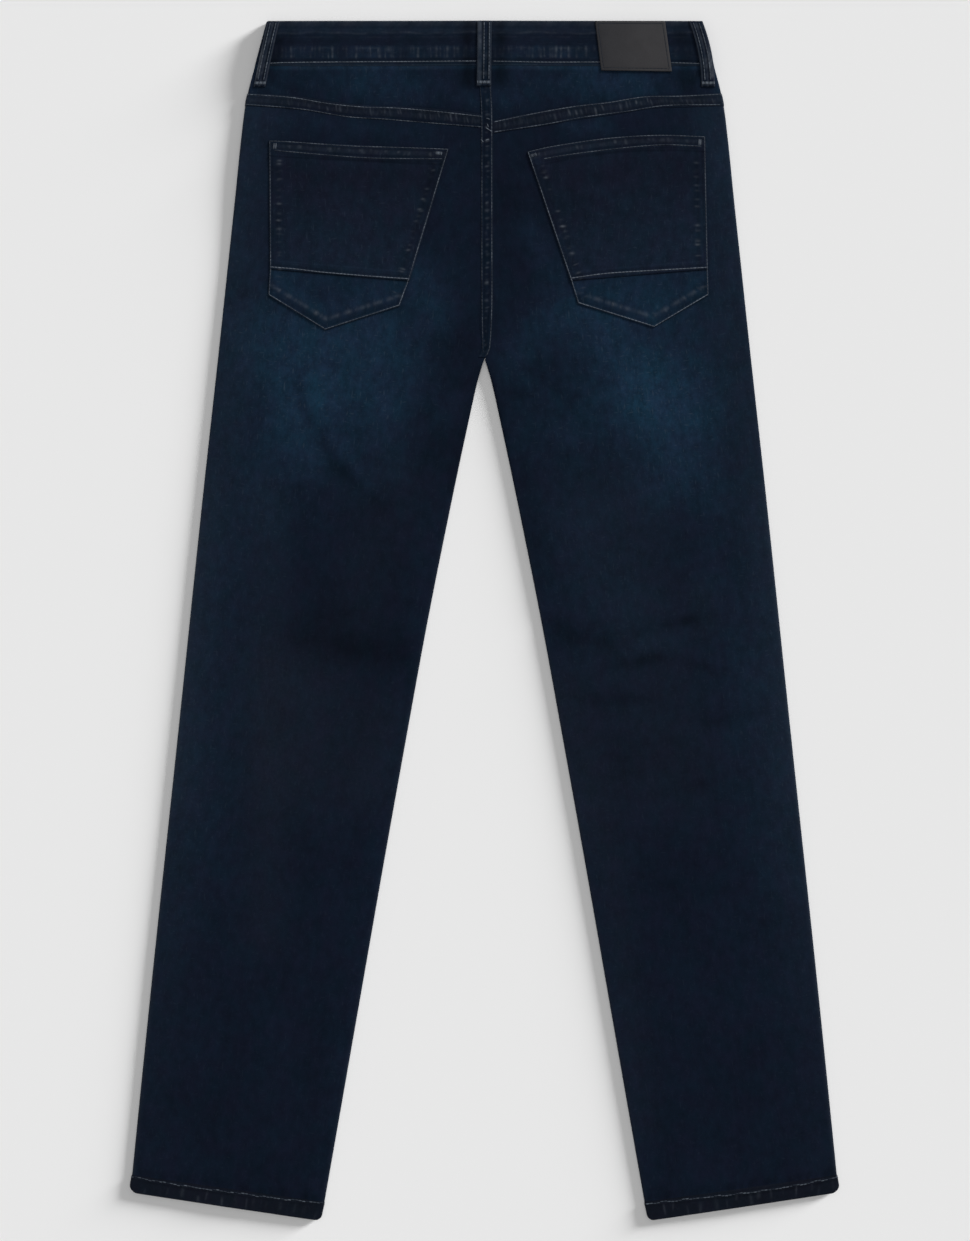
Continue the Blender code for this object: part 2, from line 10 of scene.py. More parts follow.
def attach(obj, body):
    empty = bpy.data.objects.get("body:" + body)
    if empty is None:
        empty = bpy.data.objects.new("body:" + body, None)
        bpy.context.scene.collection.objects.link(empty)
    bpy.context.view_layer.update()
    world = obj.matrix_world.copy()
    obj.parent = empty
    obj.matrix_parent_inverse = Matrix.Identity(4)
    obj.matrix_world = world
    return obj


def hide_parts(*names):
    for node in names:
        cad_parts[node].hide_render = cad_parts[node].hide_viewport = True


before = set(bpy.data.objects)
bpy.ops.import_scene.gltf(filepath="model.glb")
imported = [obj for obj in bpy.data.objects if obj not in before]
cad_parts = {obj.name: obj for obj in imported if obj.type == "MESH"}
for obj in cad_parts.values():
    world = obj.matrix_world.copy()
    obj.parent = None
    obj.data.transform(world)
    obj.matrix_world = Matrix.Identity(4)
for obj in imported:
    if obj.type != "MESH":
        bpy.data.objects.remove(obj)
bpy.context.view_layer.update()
print("frame loaded")


def inMetres(points):
    return [(first / 1000, second / 1000) for first, second in points]


# Rows of (x, drop, x, drop, width, amount), as soft lines from place to place
def softLines(rows, unit=1.0):
    return [(inMetres([row[:2], row[2:4]]), row[4] / 1000, row[5] * unit) for row in rows]


# The cut, as it lies
jeans = {
    "length": 1.130,
    "bandHeight": 0.0428,
    "crotchDrop": 0.3183,
    "frontDip": 0.028,
    "hemHeight": 0.0155,
    "hemTilt": 0.0255,
    "cloth": 0.0012,
    "gap": 0.0003,
    "seatFell": 0.0112,
    "legEdge": 0.0015,
    "hipRise": 0.0013,
    "hipDrops": (0.135, 0.235),
    "bandWall": 0.0020,
    "edgeTurn": 0.0026,
    "seatTurn": 0.0010,
    "edgeFoot": 0.0006,
    "hemCorner": 0.0066,
    "legGrain": 0.12,
}
top = jeans["length"] / 2
signs = {"left": -1, "right": 1}

# (drop, x) along each line of the cut
sideLine = inMetres([
    (0, 205.6), (40.5, 216.4), (74.5, 225.0), (108.5, 229.6), (169, 235.8), (244, 243.8),
    (319, 251.8), (452, 266.4), (678, 290.0), (904, 314.0), (1130, 336.9),
])
inseamLine = inMetres([
    (318.3, 0), (338.5, 6.1), (376.3, 14.6), (451.7, 30.6), (565, 53.3),
    (678, 74.0), (791.2, 94.3), (904.3, 114.1), (1017.5, 133.9), (1130, 153.7),
])
seatLine = inMetres([(40, 6.1), (100, 8.0), (270, 8.0), (307.5, 5.8), (318.3, 0)])

# Each yoke seam, and by the share of the way out to the side: how far it wanders,
# how wide it is felled and how rubbed its ridges are
yokeSeams = {
    "left": {
        "seatDrop": 0.0900, "tilt": 0.0217, "bow": 0.0008,
        "wander": [
            (0, 0), (0.19, -0.0011), (0.35, -0.0004), (0.49, 0.0017),
            (0.63, 0.0016), (0.79, -0.0008), (1, 0),
        ],
        "felled": [
            (0, 0.0110), (0.16, 0.0126), (0.39, 0.0122), (0.55, 0.0118), (0.75, 0.0112), (1, 0.0114),
        ],
        "rubbed": [
            (0, 0.95), (0.10, 0.75), (0.22, 0.70), (0.32, 0.25), (0.42, 0.75),
            (0.60, 0.55), (0.76, 0.65), (0.88, 0.20), (1, 0.2),
        ],
    },
    "right": {
        "seatDrop": 0.0945, "tilt": 0.0262, "bow": 0.0057,
        "wander": [
            (0, 0.0002), (0.18, 0.0004), (0.35, 0.0002), (0.51, 0.0008),
            (0.66, -0.0009), (0.83, 0.0006), (1, 0),
        ],
        "felled": [
            (0, 0.0114), (0.23, 0.0137), (0.39, 0.0130), (0.59, 0.0122), (0.75, 0.0110), (1, 0.0114),
        ],
        "rubbed": [
            (0, 0.30), (0.22, 0.35), (0.32, 0.90), (0.50, 0.85),
            (0.64, 0.95), (0.72, 0.40), (0.86, 0.50), (1, 0.3),
        ],
    },
}

# Where the button, the front loops and the lap lift the layers over them:
# each lift is its rise, how far it stays level and how far it fades
stack = {
    "buttonX": 0.003, "buttonDrop": 0.0494, "buttonLift": (0.0023, 0.0115, 0.055),
    "loopX": 0.085, "loopDrops": (0.0232, 0.0852), "loopLift": (0.0015, 0.014, 0.050),
    "lapXs": (-0.020, 0.028), "lapLift": (0.0008, 0.025, 0.050),
}

# Air between the layers, fullest in the middle of the seat and of each leg
crownForm = {
    "leg": 0.0022, "seat": 0.0015, "ankleShare": 0.6, "ankleDrop": 0.950, "crotchDrops": (0.235, 0.375),
}

# Broad folds: a ridge has a positive amount and a trough a negative one
broadFolds = softLines([
    (-177, 341, -133, 433, 13, -1.3), (-133, 433, -96, 458, 12, -1.0), (-210, 348, -160, 452, 17, 1.0),
    (-127, 357, -80, 440, 20, 0.9), (-181, 584, -73, 590, 18, -1.0), (-190, 635, -100, 645, 18, 0.8),
    (145, 307, 170, 400, 24, 1.1), (217, 320, 234, 450, 12, -0.8), (59, 565, 116, 581, 11, -0.9),
    (116, 581, 216, 565, 11, -0.9), (85, 598, 170, 607, 13, 1.0), (100, 638, 153, 640, 11, -0.8),
    (166, 662, 250, 653, 12, -0.9), (175, 690, 245, 680, 14, 0.8),
], 0.001)
foldsStart = 0.280

# Fine creases: points (x, drop), rise, width, how much darker the cloth is in them, which is painted shade
# in the troughs
creases = [
    ([(-179, 330), (-174, 356), (-165, 380), (-152, 401), (-140, 420), (-124, 438)], -0.9, 5.2, 0.38),
    ([(-136, 424), (-124, 439), (-109, 451), (-88, 468)], -0.6, 8.5, 0.20),
    ([(-182, 352), (-172, 388), (-150, 418)], 0.4, 5.0, 0),
    ([(-108, 330), (-96, 376), (-88, 420)], 0.4, 7.5, 0),
    ([(-14, 336), (-40, 352), (-70, 382)], -0.5, 6.5, 0.18),
    ([(-30, 394), (-52, 410), (-78, 446)], -0.4, 7.0, 0.12),
    ([(-172, 582), (-140, 588), (-108, 590), (-72, 596)], -0.7, 8.0, 0.22),
    ([(-150, 602), (-112, 602), (-74, 604)], -0.5, 7.0, 0.16),
    ([(-166, 556), (-146, 560), (-122, 558)], -0.4, 8.0, 0.16),
    ([(-168, 590), (-130, 588), (-96, 597)], 0.5, 4.5, 0),
    ([(-215, 640), (-170, 650), (-120, 642)], 0.4, 9.0, 0),
    ([(-235, 560), (-226, 640), (-240, 720)], -0.3, 10.0, 0.05),
    ([(-110, 760), (-150, 790), (-190, 800)], -0.4, 9.0, 0.06),
    ([(-250, 860), (-210, 880), (-170, 870)], -0.3, 10.0, 0.05),
    ([(-160, 960), (-200, 985), (-260, 980)], 0.4, 11.0, 0),
    ([(-290, 1020), (-240, 1040), (-190, 1036)], -0.3, 9.0, 0.05),
    ([(-200, 300), (-214, 360), (-222, 430)], -0.4, 6.0, 0.10),
    ([(-226, 150), (-222, 210), (-228, 270)], -0.3, 5.0, 0.06),
    ([(14, 338), (36, 356), (66, 376)], -0.5, 6.5, 0.20),
    ([(30, 384), (56, 402), (90, 420)], -0.3, 8.0, 0.12),
    ([(118, 318), (138, 362), (150, 420)], 0.4, 8.0, 0),
    ([(196, 312), (206, 372), (208, 440)], -0.4, 7.0, 0.08),
    ([(57, 565), (79, 576), (110, 584), (131, 591)], -0.6, 5.6, 0.34),
    ([(136, 583), (156, 574), (174, 569), (192, 566), (216, 562)], -0.6, 4.0, 0.38),
    ([(120, 608), (146, 605), (160, 601), (190, 603)], -0.6, 5.0, 0.36),
    ([(196, 608), (212, 612), (230, 614)], -0.4, 4.4, 0.18),
    ([(110, 590), (140, 594), (176, 584)], 0.4, 5.0, 0),
    ([(84, 638), (108, 642), (136, 641), (166, 645)], -0.6, 5.2, 0.26),
    ([(80, 618), (112, 624), (150, 622)], 0.4, 5.5, 0),
    ([(196, 664), (226, 660), (244, 655), (264, 651)], -0.5, 5.2, 0.24),
    ([(120, 676), (156, 684), (196, 676)], -0.4, 6.0, 0.14),
    ([(168, 728), (196, 722), (226, 714)], -0.5, 5.2, 0.22),
    ([(106, 690), (132, 696), (156, 694)], -0.4, 6.0, 0.14),
    ([(150, 700), (186, 702), (226, 690)], 0.4, 6.0, 0),
    ([(110, 760), (150, 772), (196, 764)], -0.3, 9.0, 0.06),
    ([(250, 800), (220, 822), (180, 826)], -0.3, 9.0, 0.05),
    ([(150, 900), (200, 926), (252, 920)], 0.4, 11.0, 0),
    ([(290, 1000), (240, 1022), (196, 1018)], -0.3, 9.0, 0.05),
]
creases = [
    {"points": inMetres(points), "rise": rise / 1000, "width": width / 1000, "darkAndShade": darkAndShade}
    for points, rise, width, darkAndShade in creases
]

# Faded places
fades = softLines([
    (-190, 296, -104, 300, 42, 0.60), (-188, 345, -172, 405, 26, 0.38), (-150, 350, -100, 360, 30, 0.48),
    (-164, 350, -110, 440, 14, 0.18), (-140, 395, -92, 410, 34, 0.16), (-66, 236, -44, 276, 20, 0.34),
    (-66, 330, -40, 360, 22, 0.14), (-210, 380, -205, 470, 20, 0.14), (-176, 436, -160, 466, 18, 0.10),
    (115, 280, 149, 350, 40, 0.62), (156, 350, 174, 425, 32, 0.42), (40, 300, 74, 270, 22, 0.26),
    (62, 318, 120, 386, 15, 0.14), (30, 330, 80, 370, 20, 0.28), (186, 270, 206, 370, 26, 0.28),
    (206, 370, 210, 450, 18, 0.15), (100, 470, 128, 570, 56, 0.15), (40, 390, 90, 400, 24, 0.20),
    (44, 200, 62, 230, 14, 0.20), (-160, 58, -40, 62, 17, 0.17), (-112, 56, -80, 60, 24, 0.22),
    (34, 62, 170, 58, 17, 0.22), (96, 54, 140, 56, 22, 0.24), (80, 98, 112, 100, 9, 0.24),
    (-190, 92, -60, 106, 10, 0.10), (-16, 74, 24, 76, 10, 0.20), (-34, 130, -30, 240, 22, 0.06),
])

# Places worn paler without turning teal
rubs = softLines([
    (-175, 630, -172, 700, 56, 0.034), (-204, 450, -208, 860, 24, 0.024), (-100, 660, -105, 720, 30, 0.024),
    (-90, 440, -120, 560, 36, 0.016), (120, 470, 170, 700, 60, 0.028), (70, 640, 100, 760, 32, 0.032),
    (118, 800, 146, 1040, 20, 0.022), (292, 640, 300, 720, 16, 0.016), (204, 540, 210, 566, 14, 0.018),
    (-262, 440, -294, 740, 12, 0.020), (262, 440, 286, 640, 10, 0.012),
])

# Darker places: some are unworn, darker dye, and some are painted shade, beside and below the belt loops
# and at the crotch
darkAndShadedPlaces = softLines([
    (20, 120, 24, 170, 13, 0.08), (-20, 290, -32, 330, 20, 0.08), (-4, 330, -30, 440, 8, 0.24),
    (6, 330, 22, 400, 7, 0.16), (-74, 150, -30, 290, 8, 0.06), (56, 330, 78, 362, 19, 0.36),
    (36, 430, 52, 520, 13, 0.20), (96, 380, 130, 520, 16, 0.07), (-170, 580, -86, 596, 25, 0.24),
    (-130, 560, -96, 560, 30, 0.10), (-110, 620, -120, 700, 18, 0.08), (72, 583, 116, 592, 11, 0.22),
    (118, 606, 146, 605, 10, 0.14), (60, 322, 124, 392, 14, 0.03), (44, 124, 50, 130, 10, 0.20),
    (104, 640, 130, 640, 12, 0.08), (226, 330, 246, 560, 12, 0.10), (-234, 250, -246, 330, 12, 0.12),
    (236, 250, 250, 360, 10, 0.12), (-280, 1040, -200, 1080, 50, 0.07), (200, 1000, 240, 1050, 40, 0.04),
    # Most of these last rows are painted shade: on both sides of the middle belt loop, beside the side
    # loops and below the right one
    (-15.5, 4, -15.5, 58, 7.0, 0.56), (15.0, 4, 15.0, 56, 6.5, 0.46), (-50, 46, -34, 78, 14, 0.08),
    (-184, 12, -196, 36, 8, 0.22), (-194, 18, -201, 56, 5, 0.36), (186, 12, 192, 56, 9, 0.36),
    (176, 60, 200, 62, 14, 0.20),
])

# Rows of stitches: points (x, drop), dullest, brightest, length of the uneven stretches, form
seamRows = {
    "waistband": [
        ([(-210.0, 40.7), (-204.0, 40.3), (-189.1, 39.6), (-145.7, 39.1), (-79.7, 38.7), (-8.0, 38.7)],
         0.50, 1.00, 60, "curved"),
        ([(8.0, 38.9), (52.3, 39.4), (108.0, 39.1), (177.8, 39.8), (210.0, 40.6)],
         0.40, 0.88, 80, "curved"),
    ],
    "yoke_left": [
        ([(-224.9, 69.2), (-181.5, 72.6), (-146.6, 78.3), (-114.6, 81.6), (-85.3, 82.4), (-50.5, 85.3),
          (-1.4, 90.8)], 0.22, 0.74, 45, "curved"),
        ([(-224.9, 78.7), (-172.1, 83.4), (-128.7, 90.5), (-93.8, 92.8), (-42.0, 97.1), (-3.3, 100.2)],
         0.06, 0.62, 40, "curved"),
    ],
    "yoke_right": [
        ([(9.5, 95.7), (47.6, 87.7), (82.5, 81.5), (117.4, 77.3), (149.5, 72.2), (186.2, 71.2),
          (224.0, 69.2)], 0.18, 0.66, 50, "curved"),
        ([(9.5, 105.0), (57.1, 97.8), (91.9, 91.3), (135.3, 85.3), (170.2, 80.1), (222.1, 79.1)],
         0.08, 0.62, 45, "curved"),
    ],
    "seat": [
        ([(5.2, 62.2), (6.6, 83.9), (6.7, 121.6), (6.8, 197.1), (6.8, 269.7), (4.8, 307.4), (2.0, 315.5)],
         0.12, 0.50, 60, "curved"),
        ([(-4.0, 62.2), (-2.6, 83.9), (-2.4, 121.6), (-2.4, 215.9), (-2.2, 269.7), (-1.4, 313.0)],
         0.00, 0.32, 50, "curved"),
        ([(2.2, 92.4), (4.4, 93.2)], 0.40, 0.70, 10, "straight"),
        ([(2.8, 97.8), (3.6, 100.6)], 0.50, 0.80, 10, "straight"),
        ([(1.4, 101.2), (7.2, 104.8)], 0.85, 1.00, 10, "straight"),
        ([(-2.8, 112.2), (-1.4, 114.2)], 0.70, 1.00, 10, "straight"),
        ([(0.6, 113.0), (4.4, 111.8)], 0.80, 1.00, 10, "straight"),
    ],
    "hem_left": [
        ([(-334.0, 1090.0), (-310.7, 1094.2), (-281.5, 1099.0), (-254.1, 1102.8), (-233.4, 1105.4),
          (-198.5, 1110.2), (-152.0, 1115.2)], 0.00, 0.53, 13, "curved"),
    ],
    "hem_right": [
        ([(152.0, 1116.0), (190.0, 1111.6), (220.2, 1108.3), (252.3, 1104.6), (286.2, 1099.6),
          (334.0, 1090.6)], 0.02, 0.60, 15, "curved"),
    ],
    "pocket_left": [
        ([(-202.4, 113.8), (-188.1, 114.3), (-154.2, 116.7), (-118.3, 118.8), (-83.5, 119.8),
          (-54.2, 120.8), (-34.5, 121.7)], 0.16, 0.56, 50, "curved"),
        ([(-198.0, 122.5), (-138.1, 127.8), (-102.3, 130.0), (-40.0, 130.6)], 0.08, 0.46, 40, "curved"),
        ([(-202.2, 114.0), (-201.6, 234.5), (-203.1, 258.1)], 0.10, 0.48, 60, "straight"),
        ([(-203.1, 258.1), (-150.1, 290.6), (-80.6, 268.2)], 0.22, 0.62, 60, "straight"),
        ([(-80.6, 268.2), (-72.1, 245.3), (-34.7, 121.6)], 0.16, 0.74, 50, "straight"),
        ([(-201.8, 232.2), (-177.8, 234.2), (-154.2, 237.0), (-114.6, 240.4), (-72.2, 243.4)],
         0.62, 1.00, 60, "curved"),
    ],
    "pocket_right": [
        ([(41.0, 124.2), (59.9, 119.8), (91.0, 114.7), (114.6, 111.6), (145.7, 109.1), (172.1, 108.5),
          (207.4, 109.8)], 0.16, 0.56, 50, "curved"),
        ([(56.0, 130.5), (70.0, 128.0), (103.7, 123.4), (145.7, 118.8), (171.2, 117.3), (204.0, 118.6)],
         0.10, 0.52, 40, "curved"),
        ([(41.2, 124.0), (82.4, 245.2), (88.7, 265.8)], 0.22, 0.78, 60, "straight"),
        ([(88.7, 265.8), (159.8, 288.2), (210.6, 258.0)], 0.44, 0.94, 60, "straight"),
        ([(210.6, 258.0), (209.9, 234.5), (207.2, 109.7)], 0.16, 0.46, 60, "straight"),
        ([(82.0, 242.8), (114.6, 238.4), (161.7, 235.4), (210.0, 232.6)], 0.62, 1.00, 60, "curved"),
    ],
}
seamRows = {
    name: [(inMetres(points), low, high, scale / 1000, form) for points, low, high, scale, form in rows]
    for name, rows in seamRows.items()
}


def mix(a, b, share):
    return a + (b - a) * share


def ease(start, end, value):
    share = np.clip((value - start) / (end - start), 0.0, 1.0)
    return share * share * (3 - 2 * share)


# Up from 0 to 1 over the first two places, and down again over the last two
def plateau(value, start, full, fading, end):
    return ease(start, full, value) * (1 - ease(fading, end, value))


def hump(value, centre, width):
    return np.exp(-(((value - centre) / width) ** 2))


# Rows of (amount, centre, width)
def humps(value, rows):
    return sum(amount * hump(value, centre, width) for amount, centre, width in rows)


# A rise that is level near its place and fades out with distance
def lift(form, distance):
    rise, level, fade = form
    return rise * 0.5 * (1 + np.cos(np.pi * np.clip((distance - level) / fade, 0.0, 1.0)))


# Distance to a run of straight stretches, and the share of the way along it
def nearLine(x, drop, points):
    total = sum(math.dist(a, b) for a, b in zip(points, points[1:]))
    nearest = np.full(np.shape(x), 9.0)
    share = np.zeros(np.shape(x))
    gone = 0.0
    for (x1, drop1), (x2, drop2) in zip(points, points[1:]):
        runX, runDrop = x2 - x1, drop2 - drop1
        reach = math.hypot(runX, runDrop)
        part = np.clip(((x - x1) * runX + (drop - drop1) * runDrop) / reach**2, 0.0, 1.0)
        away = np.hypot(x - x1 - part * runX, drop - drop1 - part * runDrop)
        closer = away < nearest
        nearest = np.where(closer, away, nearest)
        share = np.where(closer, (gone + part * reach) / total, share)
        gone += reach
    return nearest, share


# The second of each pair of values on a smooth curve, at a place along the first
def curveAt(line, place):
    places, values = np.array(line).T
    slopes = np.empty_like(values)
    slopes[1:-1] = (values[2:] - values[:-2]) / (places[2:] - places[:-2])
    slopes[0] = (values[1] - values[0]) / (places[1] - places[0])
    slopes[-1] = (values[-1] - values[-2]) / (places[-1] - places[-2])
    i = np.clip(np.searchsorted(places, place) - 1, 0, len(places) - 2)
    span = places[i + 1] - places[i]
    t = (place - places[i]) / span
    return (
        (2 * t**3 - 3 * t**2 + 1) * values[i]
        + (t**3 - 2 * t**2 + t) * span * slopes[i]
        + (3 * t**2 - 2 * t**3) * values[i + 1]
        + (t**3 - t**2) * span * slopes[i + 1]
    )


def straightAt(line, place):
    return np.interp(place, *np.array(line).T)


def sideX(drop):
    return curveAt(sideLine, drop)


def inseamX(drop):
    return np.where(drop > jeans["crotchDrop"], curveAt(inseamLine, drop), 0.0)


def seamWander(side, across):
    return curveAt(yokeSeams[side]["wander"], np.clip(across, 0.0, 1.0))


# A back piece's inner edge: the seat seam, and the inseam below the crotch
def innerX(side, drop):
    half = signs[side] * jeans["gap"] / 2
    onSeat = drop <= jeans["crotchDrop"]
    return np.where(onSeat, straightAt(seatLine, drop), signs[side] * inseamX(drop)) + half


# Heights of the layers over the floor
def buttonLift(x, drop):
    return lift(stack["buttonLift"], np.hypot(x - stack["buttonX"], drop - stack["buttonDrop"]))


def frontLevel(x, drop):
    level = buttonLift(x, drop)
    for sign in signs.values():
        away, _ = nearLine(x, drop, [(sign * stack["loopX"], end) for end in stack["loopDrops"]])
        level = level + lift(stack["loopLift"], away)
    return level


def shareAcross(x, drop):
    inner = inseamX(drop)
    return np.clip((np.abs(x) - inner) / (sideX(drop) - inner), 0.0, 1.0)


def crown(x, drop):
    across = shareAcross(x, drop)
    atAnkle = ease(crownForm["ankleDrop"], jeans["length"], drop)
    leg = crownForm["leg"] * np.sin(np.pi * across) ** 0.6 * mix(1.0, crownForm["ankleShare"], atAnkle)
    seat = crownForm["seat"] * (1 - across**6) ** 0.6
    return mix(seat, leg, ease(*crownForm["crotchDrops"], drop))


def inside(x, drop):
    across = shareAcross(x, drop)
    return np.sqrt(np.clip(4 * across * (1 - across), 0.0, 1.0))


def softSpots(x, drop, table):
    return sum(amount * hump(nearLine(x, drop, points)[0], 0.0, width) for points, width, amount in table)


# Underside of the back pieces, with the broad folds
def backUnder(x, drop):
    lap, _ = nearLine(x, drop, [(end, stack["buttonDrop"]) for end in stack["lapXs"]])
    level = jeans["legEdge"] + jeans["hipRise"] * (1 - ease(*jeans["hipDrops"], drop))
    level = level + lift(stack["lapLift"], lap) + buttonLift(x, drop) + crown(x, drop)
    folds = softSpots(x, drop, broadFolds) * inside(x, drop)
    return level + np.where(drop > foldsStart, folds, 0.0)


# The creases' rise or painted shade: they fade out at their ends and are uneven along their length
def alongCreases(x, drop, kind, spread=1.0):
    total = np.zeros(np.shape(x))
    for number, crease in enumerate(creases):
        if not crease[kind]:
            continue
        away, share = nearLine(x, drop, crease["points"])
        uneven = 1 + 0.28 * np.sin(9.0 * share + 1.7 * number) + 0.16 * np.sin(23.0 * share + number)
        taper = np.sin(np.pi * np.clip(share, 0.04, 0.96)) ** 0.45
        total += crease[kind] * hump(away, 0.0, crease["width"] * spread) * taper * uneven
    return total


# The slight unevenness of washed cloth
def waviness(x, drop):
    broad = np.sin(61 * x + 23 * drop) * np.sin(47 * drop - 31 * x + 0.7)
    middle = np.sin(173 * x - 88 * drop + 1.1) * np.sin(141 * drop + 59 * x)
    small = np.sin(412 * x + 217 * drop) * np.sin(365 * drop - 290 * x + 2.0)
    return 0.00016 * broad + 0.00008 * middle + 0.00003 * small


# The outer face of the back panels and yokes
def backTop(x, drop):
    fine = alongCreases(x, drop, "rise") + waviness(x, drop)
    return backUnder(x, drop) + jeans["cloth"] + fine * inside(x, drop)


washed = {
    "legDrops": (0.300, 0.330), "sideFade": (0.21, 0.02), "sideDrops": (0.660, 1.000),
    "sideStarts": (0.70, 0.46),
    "inseamFade": 0.05, "inseamReach": 0.16, "inseamDrops": (0.400, 0.520), "creaseSpread": 1.25,
    "turnedWear": 0.08, "turnedDrops": (0.400, 0.500), "edgeWear": 0.05, "edgeWidth": 0.0022,
    "sideWear": 0.037, "sideWidth": 0.036, "sideWearDrops": (0.70, 1.05), "evenWear": 0.003,
}


# Fading of the whole garment: strongest towards the sides, least at the hems
def fadeAt(x, drop):
    across = shareAcross(x, drop)
    onLeg = ease(*washed["legDrops"], drop)
    toSide = mix(*washed["sideFade"], ease(*washed["sideDrops"], drop))
    toSide = toSide * ease(mix(*washed["sideStarts"], onLeg), 1.0, across) ** 1.3
    toInseam = washed["inseamFade"] * (1 - ease(0.0, washed["inseamReach"], across))
    toInseam = toInseam * onLeg * ease(*washed["inseamDrops"], drop)
    return np.clip(toSide + toInseam + softSpots(x, drop, fades), 0.0, 1.0)


def darkAndShadeAt(x, drop):
    inCreases = alongCreases(x, drop, "darkAndShade", washed["creaseSpread"])
    return np.clip(softSpots(x, drop, darkAndShadedPlaces) + inCreases, 0.0, 1.0)


# Light lines along the outer edges, where the cloth turns, and the rubbed places
def edgeWear(x, drop):
    toSide = sideX(drop) - np.abs(x)
    toInseam = np.where(drop > jeans["crotchDrop"] + 0.004, np.abs(x) - inseamX(drop), 1.0)
    turned = hump(np.minimum(toSide, toInseam), 0.0, washed["edgeWidth"])
    turned = turned * ease(*washed["turnedDrops"], drop)
    sides = hump(toSide, 0.0, washed["sideWidth"]) * mix(1.0, 0.30, ease(*washed["sideWearDrops"], drop))
    worn = washed["turnedWear"] * turned + washed["edgeWear"] * hump(toSide, 0.0, washed["edgeWidth"])
    return worn + washed["sideWear"] * sides + washed["evenWear"] + softSpots(x, drop, rubs)


# Ridges across a seam where the thread draws it in: each has its own place, strength and reach
def puckers(along, across, length, spacing, seed, slant=0.0, width=0.30, leaning=0.12, span=None):
    rng = np.random.default_rng(seed)
    count = max(1, int(length / spacing))
    places = (np.arange(count) + rng.uniform(0.15, 0.85, count)) * length / count
    widths = rng.uniform(0.6, 1.4, count) * spacing * width
    strengths = rng.uniform(0.15, 1.0, count) ** 1.3
    slants = slant + rng.uniform(-leaning, leaning, count)
    start, end = span or (0.0, 1.0)
    middles = rng.uniform(start, end, count)
    reaches = rng.uniform(0.26, 0.90, count) * (end - start)
    total = np.zeros(np.shape(along))
    ridges = zip(places, widths, strengths, slants, middles, reaches)
    for place, wide, strong, lean, middle, reach in ridges:
        ridge = strong * hump(along, place + lean * across, wide)
        total += ridge * np.exp(-(((across - middle) / reach) ** 4)) if span else ridge
    return np.clip(total, 0.0, 1.3)


# Slow, uneven change along a seam, from 0 to 1
def blotches(along, scale, seed):
    rng = np.random.default_rng(seed)
    total = np.zeros(np.shape(along))
    for octave in range(4):
        wave = scale / 1.7**octave * rng.uniform(0.8, 1.25)
        total += np.sin(along * 2 * np.pi / wave + rng.uniform(0, 6.28)) / 1.35**octave
    return np.clip(0.5 + 0.28 * total, 0.0, 1.0)


# Materials
def feed(socket, value):
    if isinstance(value, bpy.types.NodeSocket):
        socket.id_data.links.new(value, socket)
    else:
        socket.default_value = value


# An input is named, with _ for a space, or is i and its number
def addNode(tree, kind, settings=None, **inputs):
    node = tree.nodes.new("ShaderNode" + kind)
    for name, value in (settings or {}).items():
        setattr(node, name, value)
    for name, value in inputs.items():
        feed(node.inputs[int(name[1:]) if name[1:].isdigit() else name.replace("_", " ")], value)
    return node


def newMaterial(name, roughness, specular, metallic=0.0):
    material = bpy.data.materials.new(name)
    material.use_nodes = True
    shader = material.node_tree.nodes["Principled BSDF"]
    shader.inputs["Roughness"].default_value = roughness
    shader.inputs["Specular IOR Level"].default_value = specular
    shader.inputs["Metallic"].default_value = metallic
    return material, material.node_tree, shader


# Gives the shader its colour, and its relief from a height
def dress(tree, shader, colour, height, strength, distance):
    relief = addNode(tree, "Bump", Strength=strength, Distance=distance, Height=height)
    feed(shader.inputs["Base Color"], colour)
    feed(shader.inputs["Normal"], relief.outputs[0])


def attributeValue(tree, name):
    return addNode(tree, "Attribute", {"attribute_name": name}).outputs["Fac"]


def objectPlace(tree):
    return addNode(tree, "TexCoord").outputs["Object"]


def noise(tree, place, scale, detail):
    return addNode(tree, "TexNoise", Vector=place, Scale=scale, Detail=detail).outputs[0]


def stretchedNoise(tree, place, scale, detail, roughness=0.5, turn=0.0):
    placed = addNode(tree, "Mapping", Vector=place, Scale=scale, Rotation=(0, 0, turn)).outputs[0]
    inputs = {"Vector": placed, "Scale": 1.0, "Detail": detail, "Roughness": roughness}
    return addNode(tree, "TexNoise", {"noise_dimensions": "2D"}, **inputs).outputs[0]


def calc(tree, operation, a, b, c=0.0, clamp=False):
    settings = {"operation": operation, "use_clamp": clamp}
    return addNode(tree, "Math", settings, i0=a, i1=b, i2=c).outputs[0]


def times(tree, a, b, clamp=False):
    return calc(tree, "MULTIPLY", a, b, clamp=clamp)


# a times b, plus c
def timesPlus(tree, a, b, c, clamp=False):
    return calc(tree, "MULTIPLY_ADD", a, b, c, clamp)


def shareBetween(tree, value, low, high):
    return addNode(tree, "MapRange", Value=value, From_Min=low, From_Max=high).outputs[0]


def blendColour(tree, factor, a, b):
    return addNode(tree, "Mix", {"data_type": "RGBA"}, i0=factor, i6=a, i7=b).outputs[2]


def tinted(tree, colour, tint):
    return addNode(tree, "VectorMath", {"operation": "MULTIPLY"}, i0=colour, i1=tint).outputs[0]


def scaled(tree, colour, level):
    return addNode(tree, "VectorMath", {"operation": "SCALE"}, i0=colour, Scale=level).outputs[0]


